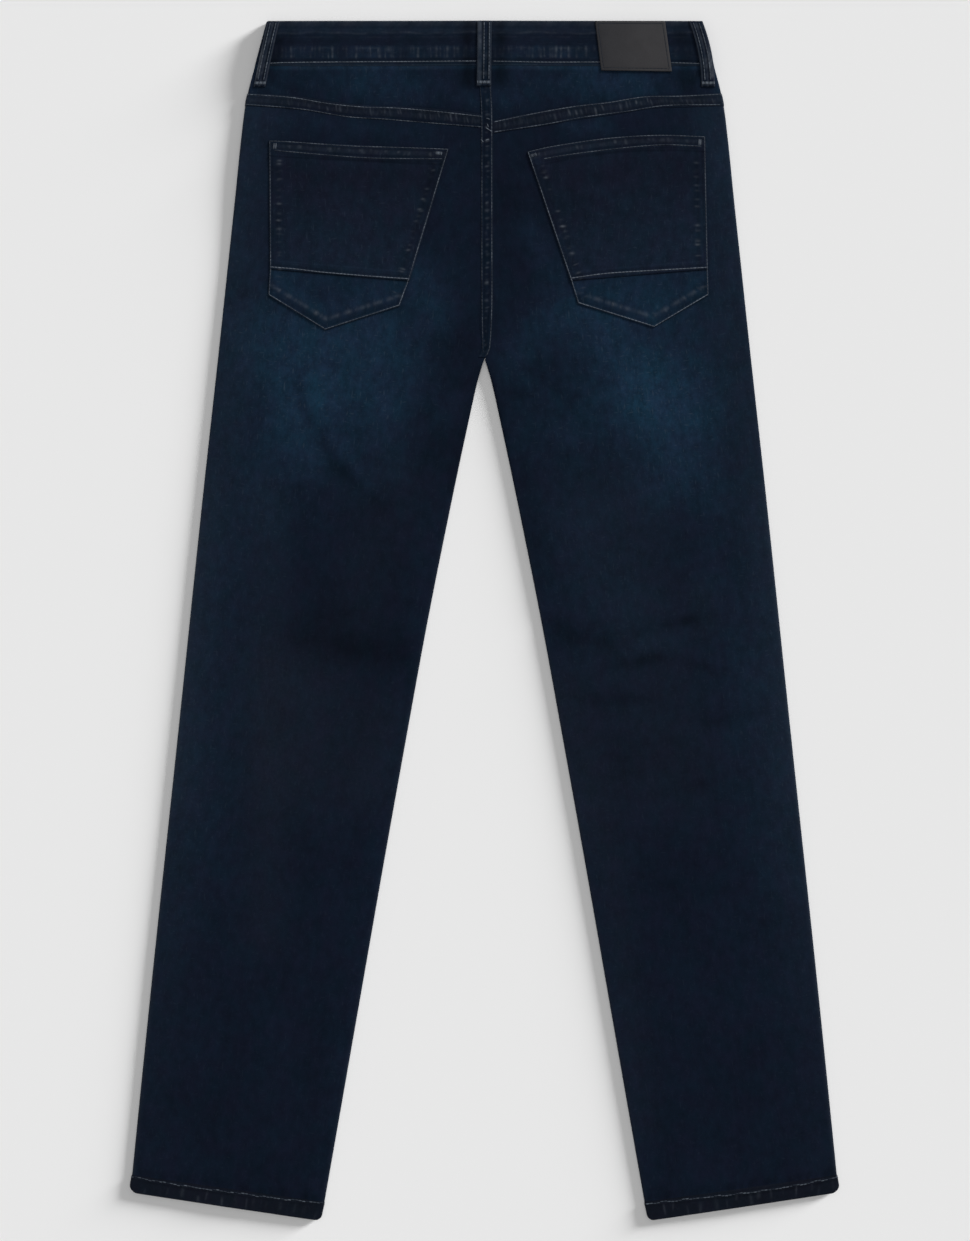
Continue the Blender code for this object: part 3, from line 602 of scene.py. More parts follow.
denimLook = {
    "roughness": 0.88, "specular": 0.06,
    "indigo": (0.0078, 0.0146, 0.0323, 1),
    "faded": (0.0166, 0.0515, 0.1010, 1),
    "fleck": (0.0700, 0.1050, 0.1500, 1),
    "worn": (0.1290, 0.1510, 0.1860, 1),
    "teal": (0.86, 1.04, 1.00, 1),
    "violet": (1.16, 0.96, 1.02, 1),
    "twillPitch": 0.0011, "twillTurn": 0.47,
    "sheen": 0.03, "sheenRoughness": 0.6, "sheenTint": (0.55, 0.66, 0.85, 1),
    # Scale along and across the grain, detail, roughness, turn
    "layers": {
        "yarn": ((1000, 90, 1), 2.0, 0.5, 0.0),
        "weft": ((300, 1000, 1), 1.0, 0.5, 0.0),
        "pile": ((340, 260, 1), 3.0, 0.62, 0.3),
        "patchy": ((120, 84, 1), 3.0, 0.6, 0.0),
        "cloud": ((24, 17, 1), 4.0, 0.55, 0.0),
        "hue": ((46, 38, 1), 3.0, 0.6, 0.5),
        "slub": ((470, 110, 1), 1.0, 0.5, 0.06),
        "cross": ((140, 500, 1), 1.0, 0.5, 0.1),
        "speck": ((400, 360, 1), 2.0, 0.5, 0.0),
    },
    "weave": {"yarn": 0.20, "weft": 0.18, "twill": 0.08, "pile": 0.58},
    "clouding": {"patchy": 0.60, "cloud": 0.46},
    "flecks": {"slub": (0.68, 0.82), "cross": (0.70, 0.84), "speck": (0.67, 0.82)},
    "reliefOf": {"yarn": 0.5, "twill": 0.55, "pile": 0.6},
    "reliefStrength": 0.55, "reliefDepth": 0.00016,
}


# Adds each layer's difference from its middle to a level
def aroundMiddle(tree, layers, strengths, level):
    for name, strength in strengths.items():
        level = timesPlus(tree, calc(tree, "SUBTRACT", layers[name], 0.5), strength, level)
    return level


# Indigo twill on the piece's own grain, which is its UV map in metres
def denim(name, tint=(1.0, 1.0, 1.0), coarseness=1.0):
    look = denimLook
    material, tree, shader = newMaterial(name, look["roughness"], look["specular"])
    grain = addNode(tree, "UVMap", {"uv_map": "grain"}).outputs[0]
    turned = addNode(tree, "Mapping", Vector=grain, Rotation=(0, 0, look["twillTurn"])).outputs[0]
    layers = {layer: stretchedNoise(tree, grain, *form) for layer, form in look["layers"].items()}
    layers["twill"] = addNode(
        tree, "TexWave", {"wave_type": "BANDS", "bands_direction": "X"},
        Vector=turned, Scale=0.31416 / look["twillPitch"], Distortion=1.2, Detail=1.0, Detail_Scale=0.6,
    ).outputs["Fac"]
    fade, wear, darkAndShade = (attributeValue(tree, part) for part in ("fade", "wear", "darkAndShade"))
    # The weave shows more where the cloth is faded; the larger patches are everywhere
    weave = aroundMiddle(tree, layers, look["weave"], 0.0)
    level = timesPlus(
        tree, weave, timesPlus(tree, fade, 0.90, 0.21 * coarseness),
        aroundMiddle(tree, layers, look["clouding"], 1.0),
    )
    unevenFade = times(tree, fade, timesPlus(tree, layers["patchy"], 0.6, 0.70), True)
    colour = tinted(tree, blendColour(tree, unevenFade, look["indigo"], look["faded"]), tint)
    # Teal to violet, as indigo washes out unevenly
    cast = blendColour(tree, shareBetween(tree, layers["hue"], 0.34, 0.66), look["teal"], look["violet"])
    colour = scaled(tree, tinted(tree, colour, cast), level)
    flecks = 0.0
    for layer, ends in look["flecks"].items():
        flecks = calc(tree, "MAXIMUM", shareBetween(tree, layers[layer], *ends), flecks)
    fleckShare = times(tree, flecks, timesPlus(tree, fade, 0.42, 0.06 * coarseness))
    colour = blendColour(tree, fleckShare, colour, look["fleck"])
    wornShare = times(tree, wear, timesPlus(tree, layers["speck"], 1.0, 0.5), True)
    colour = blendColour(tree, wornShare, colour, look["worn"])
    # Darkens the colour by the attribute that holds both unworn, darker dye and painted shade in creases,
    # grooves and beside seams
    colour = scaled(tree, colour, timesPlus(tree, darkAndShade, -0.80, 1.0, True))
    height = 0.0
    for layer, share in look["reliefOf"].items():
        height = timesPlus(tree, layers[layer], share, height)
    dress(tree, shader, colour, height, look["reliefStrength"], look["reliefDepth"])
    shader.inputs["Sheen Weight"].default_value = look["sheen"]
    shader.inputs["Sheen Roughness"].default_value = look["sheenRoughness"]
    shader.inputs["Sheen Tint"].default_value = look["sheenTint"]
    return material


threadLook = {"dull": (0.0220, 0.0310, 0.0500, 1), "bright": (0.2750, 0.3250, 0.3920, 1), "twist": 2600.0}


def thread(name):
    material, tree, shader = newMaterial(name, 0.6, 0.12)
    twist = noise(tree, objectPlace(tree), threadLook["twist"], 2.0)
    share = times(tree, attributeValue(tree, "tone"), timesPlus(tree, twist, 0.6, 0.7), True)
    colour = blendColour(tree, share, threadLook["dull"], threadLook["bright"])
    dress(tree, shader, colour, twist, 0.5, 0.0001)
    return material


leatherLook = {
    "shaded": (0.0480, 0.0490, 0.0560, 1), "lit": (0.0785, 0.0768, 0.0824, 1), "litXs": (0.102, 0.152),
    "pebbles": 950.0, "mottle": 90.0, "fine": 1500.0, "darkest": -0.55, "wear": 0.6,
}


# Bare leather with a fine pebbled grain, darker towards the seat as painted shade, blended from a lit and a
# shaded colour
def leather(name):
    look = leatherLook
    material, tree, shader = newMaterial(name, 0.62, 0.25)
    place = objectPlace(tree)
    x = addNode(tree, "SeparateXYZ", Vector=place).outputs["X"]
    pebbles = addNode(
        tree, "TexVoronoi", {"feature": "DISTANCE_TO_EDGE"}, Vector=place, Scale=look["pebbles"],
    ).outputs["Distance"]
    cells = shareBetween(tree, pebbles, 0.0, 0.35)
    # Painted shade: the shaded colour towards the seat, the lit one towards the side
    colour = blendColour(tree, shareBetween(tree, x, *look["litXs"]), look["shaded"], look["lit"])
    level = timesPlus(tree, noise(tree, place, look["mottle"], 5.0), 0.30, 0.72)
    level = timesPlus(tree, cells, 0.14, level)
    # Darker along the pressed line, as painted shade
    level = times(tree, level, timesPlus(tree, attributeValue(tree, "darkAndShade"), look["darkest"], 1.0))
    # Lighter by the wear attribute, which on the patch also holds painted highlights along its right and
    # top edges
    level = times(tree, level, timesPlus(tree, attributeValue(tree, "wear"), look["wear"], 1.0))
    height = timesPlus(tree, noise(tree, place, look["fine"], 3.0), 0.35, cells)
    dress(tree, shader, scaled(tree, colour, level), height, 0.35, 0.00012)
    return material


buttonLook = {"tarnished": (0.115, 0.105, 0.095, 1), "bare": (0.30, 0.285, 0.26, 1)}


def buttonMetal(name):
    material, tree, shader = newMaterial(name, 0.42, 0.5, 1.0)
    place = objectPlace(tree)
    colour = blendColour(tree, noise(tree, place, 420.0, 4.0), buttonLook["tarnished"], buttonLook["bare"])
    dress(tree, shader, colour, stretchedNoise(tree, place, (4000, 500, 1), 3.0), 0.3, 0.00006)
    return material


denimBody = denim("denimBody")
denimPocket = denim("denimPocket", (1.26, 1.0, 0.96), 1.4)
denimHem = denim("denimHem", (1.16, 0.96, 0.88))
threadTonal = thread("threadTonal")
patchLeather = leather("patchLeather")
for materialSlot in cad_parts["waist_button"].material_slots:
    materialSlot.material = buttonMetal("buttonSteel")
print("materials made")


# Cloth pieces, each under its name
pieces = {}


# Places the grid's points and stores the grain and the wear on them
def setCloth(mesh, x, y, z, grainAngle, looks):
    mesh.vertices.foreach_set("co", np.column_stack((x, y, z)).ravel())
    uvLayer = mesh.uv_layers.new(name="grain")
    corners = np.empty(len(mesh.loops), np.int32)
    mesh.loops.foreach_get("vertex_index", corners)
    c, s = math.cos(grainAngle), math.sin(grainAngle)
    uv = np.column_stack((x * c - y * s, x * s + y * c))
    uvLayer.data.foreach_set("uv", uv[corners].ravel())
    for name in ("fade", "wear", "darkAndShade"):
        values = np.broadcast_to(np.asarray(looks.get(name, 0.0), np.float32), x.shape)
        layer = mesh.attributes.new(name, "FLOAT", "POINT")
        layer.data.foreach_set("value", np.clip(values, 0.0, 1.0))
    mesh.update()


def finishPiece(name, mesh, material, node=None):
    mesh.materials.append(material)
    mesh.shade_smooth()
    piece = bpy.data.objects.new(name, mesh)
    bpy.context.scene.collection.objects.link(piece)
    if node:
        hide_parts(node)
    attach(piece, "root")
    pieces[name] = piece
    return piece


# A grid's mesh, and the column and row number of each of its points
def gridMesh(name, columns, rows):
    bm = bmesh.new()
    bmesh.ops.create_grid(bm, x_segments=columns, y_segments=rows, size=0.5)
    mesh = bpy.data.meshes.new(name)
    bm.to_mesh(mesh)
    bm.free()
    flat = np.empty(len(mesh.vertices) * 3)
    mesh.vertices.foreach_get("co", flat)
    flat = flat.reshape(-1, 3)
    return mesh, np.round((flat[:, 0] + 0.5) * columns), np.round((0.5 - flat[:, 1]) * rows)


# A sheet from a grid: place() turns column and row numbers into (x, drop, z, looks)
def gridCloth(name, cut, place, node=None, material=denimBody, grainAngle=0.0, faceUp=True):
    mesh, column, row = gridMesh(name, cut["columns"], cut["rows"])
    x, drop, z, looks = place(column, row)
    setCloth(mesh, x, top - drop, z, grainAngle, looks)
    normals = np.empty(len(mesh.polygons) * 3)
    mesh.polygons.foreach_get("normal", normals)
    if (normals.reshape(-1, 3)[:, 2].sum() > 0) != faceUp:
        mesh.flip_normals()
    solid = finishPiece(name, mesh, material, node).modifiers.new("wall", "SOLIDIFY")
    solid.thickness = cut["wall"]
    solid.offset = -1.0


turnSteps = 5


# Distance from the inner edge for a column, and the angles of the turned edges
def acrossLeg(step, columns, width, innerTurn, outerTurn):
    innerAngle = np.clip((turnSteps - step) / turnSteps, 0.0, 1.0) * np.pi / 2
    outerAngle = np.clip((step - columns + turnSteps) / turnSteps, 0.0, 1.0) * np.pi / 2
    flat = np.clip((step - turnSteps) / (columns - 2 * turnSteps), 0.0, 1.0)
    distance = innerTurn * (1 - np.sin(innerAngle)) + flat * (width - innerTurn - outerTurn)
    return distance + outerTurn * np.sin(outerAngle), innerAngle, outerAngle


# Turns the outer face down over the leg's edges, and moves it out by what it is raised
def turnedDown(x, z, side, innerAngle, outerAngle, legShare, raised):
    fall = (1 - np.cos(innerAngle)) * legShare + 1 - np.cos(outerAngle)
    z = z - fall * (z - jeans["edgeFoot"]) + raised * np.cos(innerAngle * legShare + outerAngle)
    return x + signs[side] * raised * (np.sin(outerAngle) - np.sin(innerAngle) * legShare), z


def inHem(fromBottom):
    return np.clip(1 - fromBottom / jeans["hemHeight"], 0.0, 1.0)


# What the rounded corners take off a hem's bottom edge
def cornerCut(distance, width, fromBottom):
    radius = jeans["hemCorner"]
    inward = np.clip(radius - np.minimum(distance, width - distance), 0.0, radius)
    return (radius - np.sqrt(radius**2 - inward**2)) * inHem(fromBottom)


# The hem's bottom edge hangs a little lower, most at the inseam
def hemDroop(across, fromBottom):
    return mix(0.0024, 0.0009, across) * inHem(fromBottom)


# A point of a back panel's outer face, or of a strip raised over it
def backPoint(side, rowDrop, step, columns, raised=0.0, sunk=0.0):
    seam, sign = yokeSeams[side], signs[side]
    fromSeam = rowDrop - seam["seatDrop"]
    share = np.clip(fromSeam / (jeans["length"] - seam["seatDrop"]), 0.0, 1.0)
    outerDrop = rowDrop - mix(seam["tilt"], jeans["hemTilt"], share)
    start = innerX(side, rowDrop)
    width = np.abs(sign * sideX(outerDrop) - start)
    legShare = ease(jeans["crotchDrop"] - 0.001, jeans["crotchDrop"] + 0.030, rowDrop)
    innerTurn = mix(jeans["seatTurn"], jeans["edgeTurn"], legShare)
    distance, innerAngle, outerAngle = acrossLeg(step, columns, width, innerTurn, jeans["edgeTurn"])
    across = distance / width
    bow = 4 * seam["bow"] * across * (1 - across) * (1 - ease(0.0, 0.120, fromSeam))
    wander = seamWander(side, across) * (1 - ease(0.0, 0.040, fromSeam))
    fromBottom = jeans["length"] - rowDrop
    drop = mix(rowDrop, outerDrop, across) - bow + wander
    drop = drop - cornerCut(distance, width, fromBottom) + hemDroop(across, fromBottom)
    x = start + sign * distance
    x, z = turnedDown(x, backTop(x, drop), side, innerAngle, outerAngle, legShare, raised)
    return x, drop, z - sunk * np.cos(innerAngle * legShare + outerAngle), distance


besideRows = {"wear": 0.12, "wearWidth": 0.0009, "darkAndShade": 0.30, "away": 0.0022, "darkWidth": 0.0010}


# The cloth beside stitches: worn under the thread, with painted shade in the dip on each side
def besideStitches(x, drop, rows):
    look = besideRows
    worn, darkAndShade = np.zeros(np.shape(x)), np.zeros(np.shape(x))
    for number, (points, low, high, scale, _) in enumerate(rows):
        away, share = nearLine(x, drop, points)
        tone = mix(low, high, blotches(share * 0.3, scale, 400 + number))
        worn = np.maximum(worn, look["wear"] * tone * hump(away, 0.0, look["wearWidth"]))
        darkAndShade = np.maximum(darkAndShade, look["darkAndShade"] * hump(away, look["away"], look["darkWidth"]))
    return worn, darkAndShade


backPanel = {
    "columns": 92, "rows": 326, "wall": 0.0010, "underFell": 0.0012, "aboveEnd": 0.0022,
    "aboveHem": 0.0030, "hemShade": 0.42, "shadeWidth": 0.0046, "shadeScale": 0.027,
}


def makeBackPanel(side):
    cut = backPanel
    firstDrop = yokeSeams[side]["seatDrop"] + cut["underFell"]
    lastDrop = jeans["length"] - cut["aboveEnd"]
    shadeDrop = jeans["length"] - jeans["hemHeight"] - cut["aboveHem"]

    def place(column, row):
        rowDrop = mix(firstDrop, lastDrop, row / cut["rows"])
        x, drop, z, distance = backPoint(side, rowDrop, column, cut["columns"])
        uneven = blotches(distance + 0.4 * (rowDrop - 1.1), cut["shadeScale"], 41 + signs[side])
        shade = cut["hemShade"] * hump(rowDrop, shadeDrop, cut["shadeWidth"]) * uneven
        darkAndShade = darkAndShadeAt(x, drop) + shade
        return x, drop, z, {"fade": fadeAt(x, drop), "darkAndShade": darkAndShade, "wear": edgeWear(x, drop)}

    gridCloth(
        f"backPanel_{side}", cut, place, f"back_panel_{side}", grainAngle=-signs[side] * jeans["legGrain"],
    )


yokeCut = {
    "columns": 104, "rows": 34, "wall": 0.0010, "tuck": 0.0420, "underFell": 0.0010, "grain": 0.03,
    "sunk": 0.0002, "underBand": (0.0440, 0.0024), "bandFade": 0.36, "bandWear": 0.05,
    "fellShade": 0.16, "fellReach": 0.060,
}


def makeYoke(side):
    cut, seam, sign = yokeCut, yokeSeams[side], signs[side]

    def place(column, row):
        down = row / cut["rows"]
        rowInner = mix(cut["tuck"], seam["seatDrop"] + cut["underFell"], down)
        rowOuter = mix(cut["tuck"], seam["seatDrop"] - seam["tilt"] + cut["underFell"], down)
        start = innerX(side, rowInner)
        width = np.abs(sign * sideX(rowOuter) - start)
        turns = jeans["seatTurn"], jeans["edgeTurn"]
        distance, innerAngle, outerAngle = acrossLeg(column, cut["columns"], width, *turns)
        across = distance / width
        bow = 4 * seam["bow"] * across * (1 - across)
        drop = mix(rowInner, rowOuter, across) + (seamWander(side, across) - bow) * down
        x = start + sign * distance
        z = backTop(x, drop) - cut["sunk"] * ease(0.975, 1.0, down)
        x, z = turnedDown(x, z, side, innerAngle, outerAngle, 0.0, 0.0)
        underBand = hump(drop, *cut["underBand"])
        return x, drop, z, {
            "fade": fadeAt(x, drop) + cut["bandFade"] * underBand,
            "darkAndShade": darkAndShadeAt(x, drop) + cut["fellShade"] * hump(down, 1.0, cut["fellReach"]),
            "wear": 0.2 * edgeWear(x, drop) + cut["bandWear"] * underBand * blotches(x, 0.09, 5),
        }

    gridCloth(f"backYoke_{side}", cut, place, f"yoke_{side}", grainAngle=sign * cut["grain"])


# Felled seams and hems: narrow raised strips whose rows run along the seam
hemFold = {
    "columns": 260, "rows": 24, "wall": 0.0017, "bottomSteps": 5, "turn": 0.0011, "over": 0.0016,
    "rise": 0.0006, "sunk": 0.0004, "pucker": 0.00034, "length": 0.19, "spacing": 0.0112,
    "ridges": {"width": 0.12, "leaning": 0.22, "span": (0.0050, 0.0130)}, "slant": 0.12,
    "groove": 0.00030, "grooveAt": (0.0012, 0.0009),
}


def makeHem(side):
    cut, sign, height, steps = hemFold, signs[side], jeans["hemHeight"], hemFold["bottomSteps"]
    flatRows = cut["rows"] - steps

    def place(column, row):
        angle = np.clip((row - flatRows) / steps, 0.0, 1.0) * np.pi / 2
        down = mix(-cut["over"], height - cut["turn"], np.clip(row / flatRows, 0.0, 1.0))
        down = down + cut["turn"] * np.sin(angle)
        along = column / cut["columns"] * cut["length"]
        slant = -cut["slant"] * sign
        mark = puckers(along, down, cut["length"], cut["spacing"], 31 + sign, slant, **cut["ridges"])
        gather = blotches(along, 0.016, 37 + sign)
        body = ease(0.0024, 0.0050, down) * (1 - 0.35 * ease(0.0120, height, down))
        raised = mix(-cut["sunk"], cut["rise"], ease(-cut["over"], 0.0012, down))
        raised = raised + cut["pucker"] * mark * body
        raised = raised - cut["groove"] * hump(down, *cut["grooveAt"]) * mix(0.4, 1.2, gather)
        rowDrop, sunk = jeans["length"] - height + down, (1 - np.cos(angle)) * cut["wall"]
        x, drop, z, _ = backPoint(side, rowDrop, column, cut["columns"], raised, sunk)
        worn, dip = besideStitches(x, drop, seamRows[f"hem_{side}"])
        return x, drop, z, {
            # Darker all over the hem, with painted shade along its turned top edge and in the dips beside
            # its stitches
            "darkAndShade": 0.26 + 0.8 * dip + 0.20 * hump(down, -0.0010, 0.0014) + 0.16 * (1 - mark) * body,
            "wear": 0.045 + 0.8 * worn + 0.38 * mark * body * mix(0.2, 1.0, gather)
            + 0.03 * hump(down, height, 0.0012),
        }

    gridCloth(f"hem_{side}", cut, place, material=denimHem, grainAngle=-sign * jeans["legGrain"])


# Distance down a strip with a turned edge, from its first steps on, and how far the edge has turned
def fromTurned(step, count, over, flatFrom, end):
    angle = np.clip((3 - step) / 3, 0.0, 1.0) * np.pi / 2
    turned = -over + 0.0008 * (1 - np.sin(angle))
    return np.where(step < 3, turned, mix(flatFrom, end, (step - 3) / (count - 3))), 1 - np.cos(angle)


yokeFell = {
    "columns": 300, "rows": 20, "wall": 0.0007, "rise": 0.0006, "pucker": 0.00032, "length": 0.235,
    "spacing": 0.0050, "ridges": {"width": 0.16, "span": (0.0034, 0.0088)}, "slant": 0.25,
    "fineSpacing": 0.0028, "fineRidges": {"slant": 0.10, "width": 0.24, "span": (0.0030, 0.0090)},
    "past": 0.0012, "edgeSunk": 0.0003, "endSunk": 0.0002, "groove": 0.00016, "grooveAt": (0.0012, 0.0007),
    "wear": 0.044, "fineWear": 0.14, "rubbedWear": 0.62, "edgeWear": (0.0004, 0.0007),
}


def makeYokeFell(side):
    cut, seam, sign, length = yokeFell, yokeSeams[side], signs[side], yokeFell["length"]

    def place(column, row):
        share = column / cut["columns"]
        wide = straightAt(seam["felled"], share)
        down, edge = fromTurned(row, cut["rows"], 0.0002, 0.0006, wide + cut["past"])
        ramp = 1 - ease(wide - 0.0006, wide + cut["past"], down)
        along = share * length
        slant = cut["slant"] * sign
        mark = puckers(along, down, length, cut["spacing"], 51 + sign, slant, **cut["ridges"])
        fine = puckers(along, down, length, cut["fineSpacing"], 57 + sign, **cut["fineRidges"])
        body = plateau(down, 0.0014, 0.0030, wide - 0.0030, wide - 0.0012)
        raised = cut["rise"] * (1 - edge) * ramp - cut["edgeSunk"] * edge - cut["endSunk"] * (1 - ramp)
        grooves = hump(down, *cut["grooveAt"]) + hump(wide - down, *cut["grooveAt"])
        raised = raised + cut["pucker"] * mark * body - cut["groove"] * grooves
        x, drop, z, _ = backPoint(side, seam["seatDrop"] + down, column, cut["columns"], raised)
        rubbed = straightAt(seam["rubbed"], share) * (0.5 + blotches(along, 0.022, 61 + sign))
        worn, dip = besideStitches(x, drop, seamRows[f"yoke_{side}"])
        ridgeWear = cut["wear"] + cut["fineWear"] * fine + cut["rubbedWear"] * rubbed * mark
        return x, drop, z, {
            "fade": fadeAt(x, drop) * 0.7,
            # Painted shade in the dips beside the stitches and just past the felled edge
            "darkAndShade": darkAndShadeAt(x, drop) + 0.8 * dip + 0.34 * hump(down, wide + 0.0008, 0.0008)
            + 0.20 * body * (1 - mark),
            "wear": worn + ridgeWear * body + 0.04 * hump(down, *cut["edgeWear"]) + edgeWear(x, drop),
        }

    gridCloth(f"yokeSeam_{side}", cut, place)


seatFell = {
    "columns": 20, "rows": 420, "wall": 0.0007, "drops": (0.0405, 0.3172), "rise": 0.0006,
    "footWidth": 0.0068, "pucker": 0.00032, "spacing": 0.0052,
    "ridges": {"slant": 0.15, "width": 0.22, "span": (0.0036, 0.0076)},
    "past": 0.0010, "edgeSunk": 0.0004, "endSunk": 0.0002, "groove": 0.00016, "crossing": (0.0945, 0.0062),
}


def makeSeatFell():
    cut = seatFell
    firstDrop, lastDrop = cut["drops"]

    def place(column, row):
        drop = mix(firstDrop, lastDrop, row / cut["rows"])
        wide = mix(jeans["seatFell"], cut["footWidth"], ease(0.285, 0.318, drop))
        fromEdge, edge = fromTurned(column, cut["columns"], 0.0004, 0.0004, wide + cut["past"])
        ramp = 1 - ease(wide - 0.0008, wide + cut["past"], fromEdge)
        crossing = hump(drop, *cut["crossing"])
        mark = puckers(drop - firstDrop, fromEdge, 0.277, cut["spacing"], 71, **cut["ridges"])
        body = plateau(fromEdge, 0.0018, 0.0036, wide - 0.0036, wide - 0.0018)
        raised = (cut["rise"] + 0.0006 * crossing) * (1 - edge) * ramp - cut["edgeSunk"] * edge
        raised = raised - cut["endSunk"] * (1 - ramp) + cut["pucker"] * mark * body
        grooves = humps(fromEdge, [(1, 0.0013, 0.0007), (1, wide - 0.0007, 0.0007)])
        raised = raised - cut["groove"] * grooves
        x = straightAt(seatLine, drop) - fromEdge
        patchy = blotches(drop, 0.060, 73)
        worn, dip = besideStitches(x, drop, seamRows["seat"])
        below = ease(0.062, 0.075, drop)
        return x, drop, backTop(x, drop) + raised, {
            "fade": fadeAt(x, drop) * 0.5 + 0.08,
            # Painted shade in the dips beside the stitches and along both edges of the fell
            "darkAndShade": darkAndShadeAt(x, drop) * 0.3 + 0.8 * dip * below + 0.24 * body * (1 - mark)
            + 0.30 * hump(fromEdge, -0.0004, 0.0009) + 0.25 * hump(fromEdge, wide + 0.0004, 0.0008),
            "wear": worn * below + (0.20 + 0.58 * patchy) * mark * hump(fromEdge, wide * 0.50, 0.0021)
            + 0.30 * crossing * mark + 0.08 * hump(fromEdge, 0.0004, 0.0006),
        }

    gridCloth("seatSeam", cut, place)


# Waistband: one strip all round, its section closed and rounded at both edges
band = {
    "frontStations": 60, "foldStations": 10, "backStations": 520,
    "outerRows": 52, "innerRows": 8, "edgeSteps": 3,
    "lap": 0.020, "lapClear": 0.004, "lapFade": 0.036, "sunk": 0.0003,
    # Ladder of puckers over the lower stitching
    "pucker": 0.00036, "spacing": 0.0086, "ridges": {"slant": 0.02, "width": 0.125, "leaning": 0.04},
    "fineSpacing": 0.0044, "fineRidges": {"width": 0.17, "leaning": 0.05}, "ladderSpan": (0.0245, 0.0345),
    "ladderDrops": (0.0225, 0.0250, 0.0340, 0.0362), "ladderXs": (-0.192, -0.176, 0.172, 0.180),
    "bareXs": (-0.040, -0.020, 0.012, 0.030),
    "ladderRows": [(0.36, 0.0268, 0.0014), (0.44, 0.0338, 0.0014)],
    # Height, drop and width of the ridges and grooves along it
    "ridgeRows": [
        (0.00025, 0.0105, 0.0035), (-0.00022, 0.0150, 0.0022), (0.00012, 0.0190, 0.0020),
        (-0.00022, 0.0387, 0.0008),
    ],
    # Amount, drop and width of each line of its looks, with the range of its unevenness and what varies it
    "fade": [(0.10, 0.0100, 0.0036, 0, 1, "streak"), (0.55, 0.0430, 0.0016, 1, 1, "streak")],
    "darkAndShade": [
        (0.20, 0.0176, 0.0042, 0.5, 1.2, "streak"), (0.16, 0.0228, 0.0010, 0, 1, "patchy"),
        (0.08, 0.0062, 0.0012, 1, 1, "streak"),
    ],
    "wear": [
        (0.30, 0.0002, 0.0012, 0.6, 1.3, "streak"), (0.10, 0.0030, 0.0024, 0.5, 1.5, "streak"),
        (0.04, 0.0096, 0.0024, 1, 1, "streak"), (0.08, 0.0155, 0.0006, 1, 0, "thin"),
        (0.22, 0.0426, 0.0009, 1, 1, "streak"),
    ],
}
bandUnder = jeans["legEdge"] + jeans["hipRise"] - band["sunk"]
foldRadius = (bandUnder + jeans["bandWall"]) / 2
# The stretches of the band round the waist
front, folded, back, lapped = range(4)


# Stations round the waist: which stretch each is on, its share or angle, and its side
def bandStations():
    reach = float(sideX(jeans["bandHeight"] / 2)) - foldRadius
    tip = band["lap"] / reach
    turn = np.linspace(-math.pi / 2, math.pi / 2, band["foldStations"])
    parts = [
        (front, np.linspace(tip, -1, band["frontStations"]), -1),
        (folded, turn[1:], -1),
        (back, np.linspace(-1, 1, band["backStations"])[1:-1], 1),
        (folded, turn[::-1], 1),
        (lapped, np.linspace(1, -tip, band["frontStations"])[1:], 1),
    ]
    kinds = np.concatenate([[kind] * len(run) for kind, run, _ in parts])
    values = np.concatenate([run for _, run, _ in parts])
    sides = np.concatenate([[side] * len(run) for _, run, side in parts])
    return kinds, values, sides, reach


# Its section runs up the outer face, over the top edge, down the inner face and back:
# the drop of each point, and where it is between the inner face, -1, and the outer, 1
def bandSection():
    high, half = jeans["bandHeight"], jeans["bandWall"] / 2
    down = np.linspace(high - half, half, band["outerRows"] + 1)
    up = np.linspace(half, high - half, band["innerRows"] + 1)
    arc = np.linspace(0, math.pi, 2 * band["edgeSteps"] + 1)[1:-1]
    drops = [down, half - half * np.sin(arc), up, high - half + half * np.sin(arc)]
    outs = [np.full(len(down), 1.0), np.cos(arc), np.full(len(up), -1.0), -np.cos(arc)]
    return np.concatenate(drops), np.concatenate(outs)


# Puckers, wear and ridges of the band's outer face
def bandLooks(x, q, drop, outer):
    ladder = {"span": band["ladderSpan"]}
    mark = puckers(x + 0.22, q, 0.44, band["spacing"], 17, **band["ridges"], **ladder)
    fine = puckers(x + 0.22, q, 0.44, band["fineSpacing"], 18, **band["fineRidges"], **ladder)
    patchy = blotches(x + 0.3, 0.085, 19) * plateau(x, *band["ladderXs"])
    patchy = patchy * (1 - 0.8 * plateau(x, *band["bareXs"]))
    onLadder = plateau(q, *band["ladderDrops"])
    fields = {
        "patchy": patchy,
        "streak": blotches(x + 0.3 + 0.8 * q, 0.034, 23),
        "thin": blotches(x + 0.3, 0.052, 27),
    }

    def lines(kind):
        return sum(
            amount * hump(q, centre, width) * mix(low, high, fields[field])
            for amount, centre, width, low, high, field in band[kind]
        )

    swell = humps(q, band["ridgeRows"]) + band["pucker"] * mark * onLadder + 0.5 * waviness(x, drop)
    worn, dip = besideStitches(x, q, seamRows["waistband"])
    wornRows = humps(q, band["ladderRows"]) + 0.26 * onLadder
    wear = 0.014 + worn + wornRows * (0.85 * mark + 0.85 * fine) * (0.20 + 1.1 * patchy)
    wear = wear + 0.14 * hump(q, 0.0258, 0.0007) * patchy * ease(0.35, 0.65, blotches(x, 0.060, 29))
    wavyDrop = 0.0116 + 0.0005 * np.sin(90 * x) + 0.0004 * np.sin(210 * x + 1.0)
    wear = wear + lines("wear") + 0.12 * hump(q, wavyDrop, 0.0009) * mix(0.2, 1.5, fields["thin"])
    return outer * swell, {
        "fade": np.where(outer, 0.06 + lines("fade") + 0.24 * onLadder * patchy, 0.0),
        "darkAndShade": np.where(outer, darkAndShadeAt(x, q) + lines("darkAndShade") + dip, 0.0),
        "wear": np.where(outer | (q < jeans["bandWall"] / 2), wear, 0.0),
    }


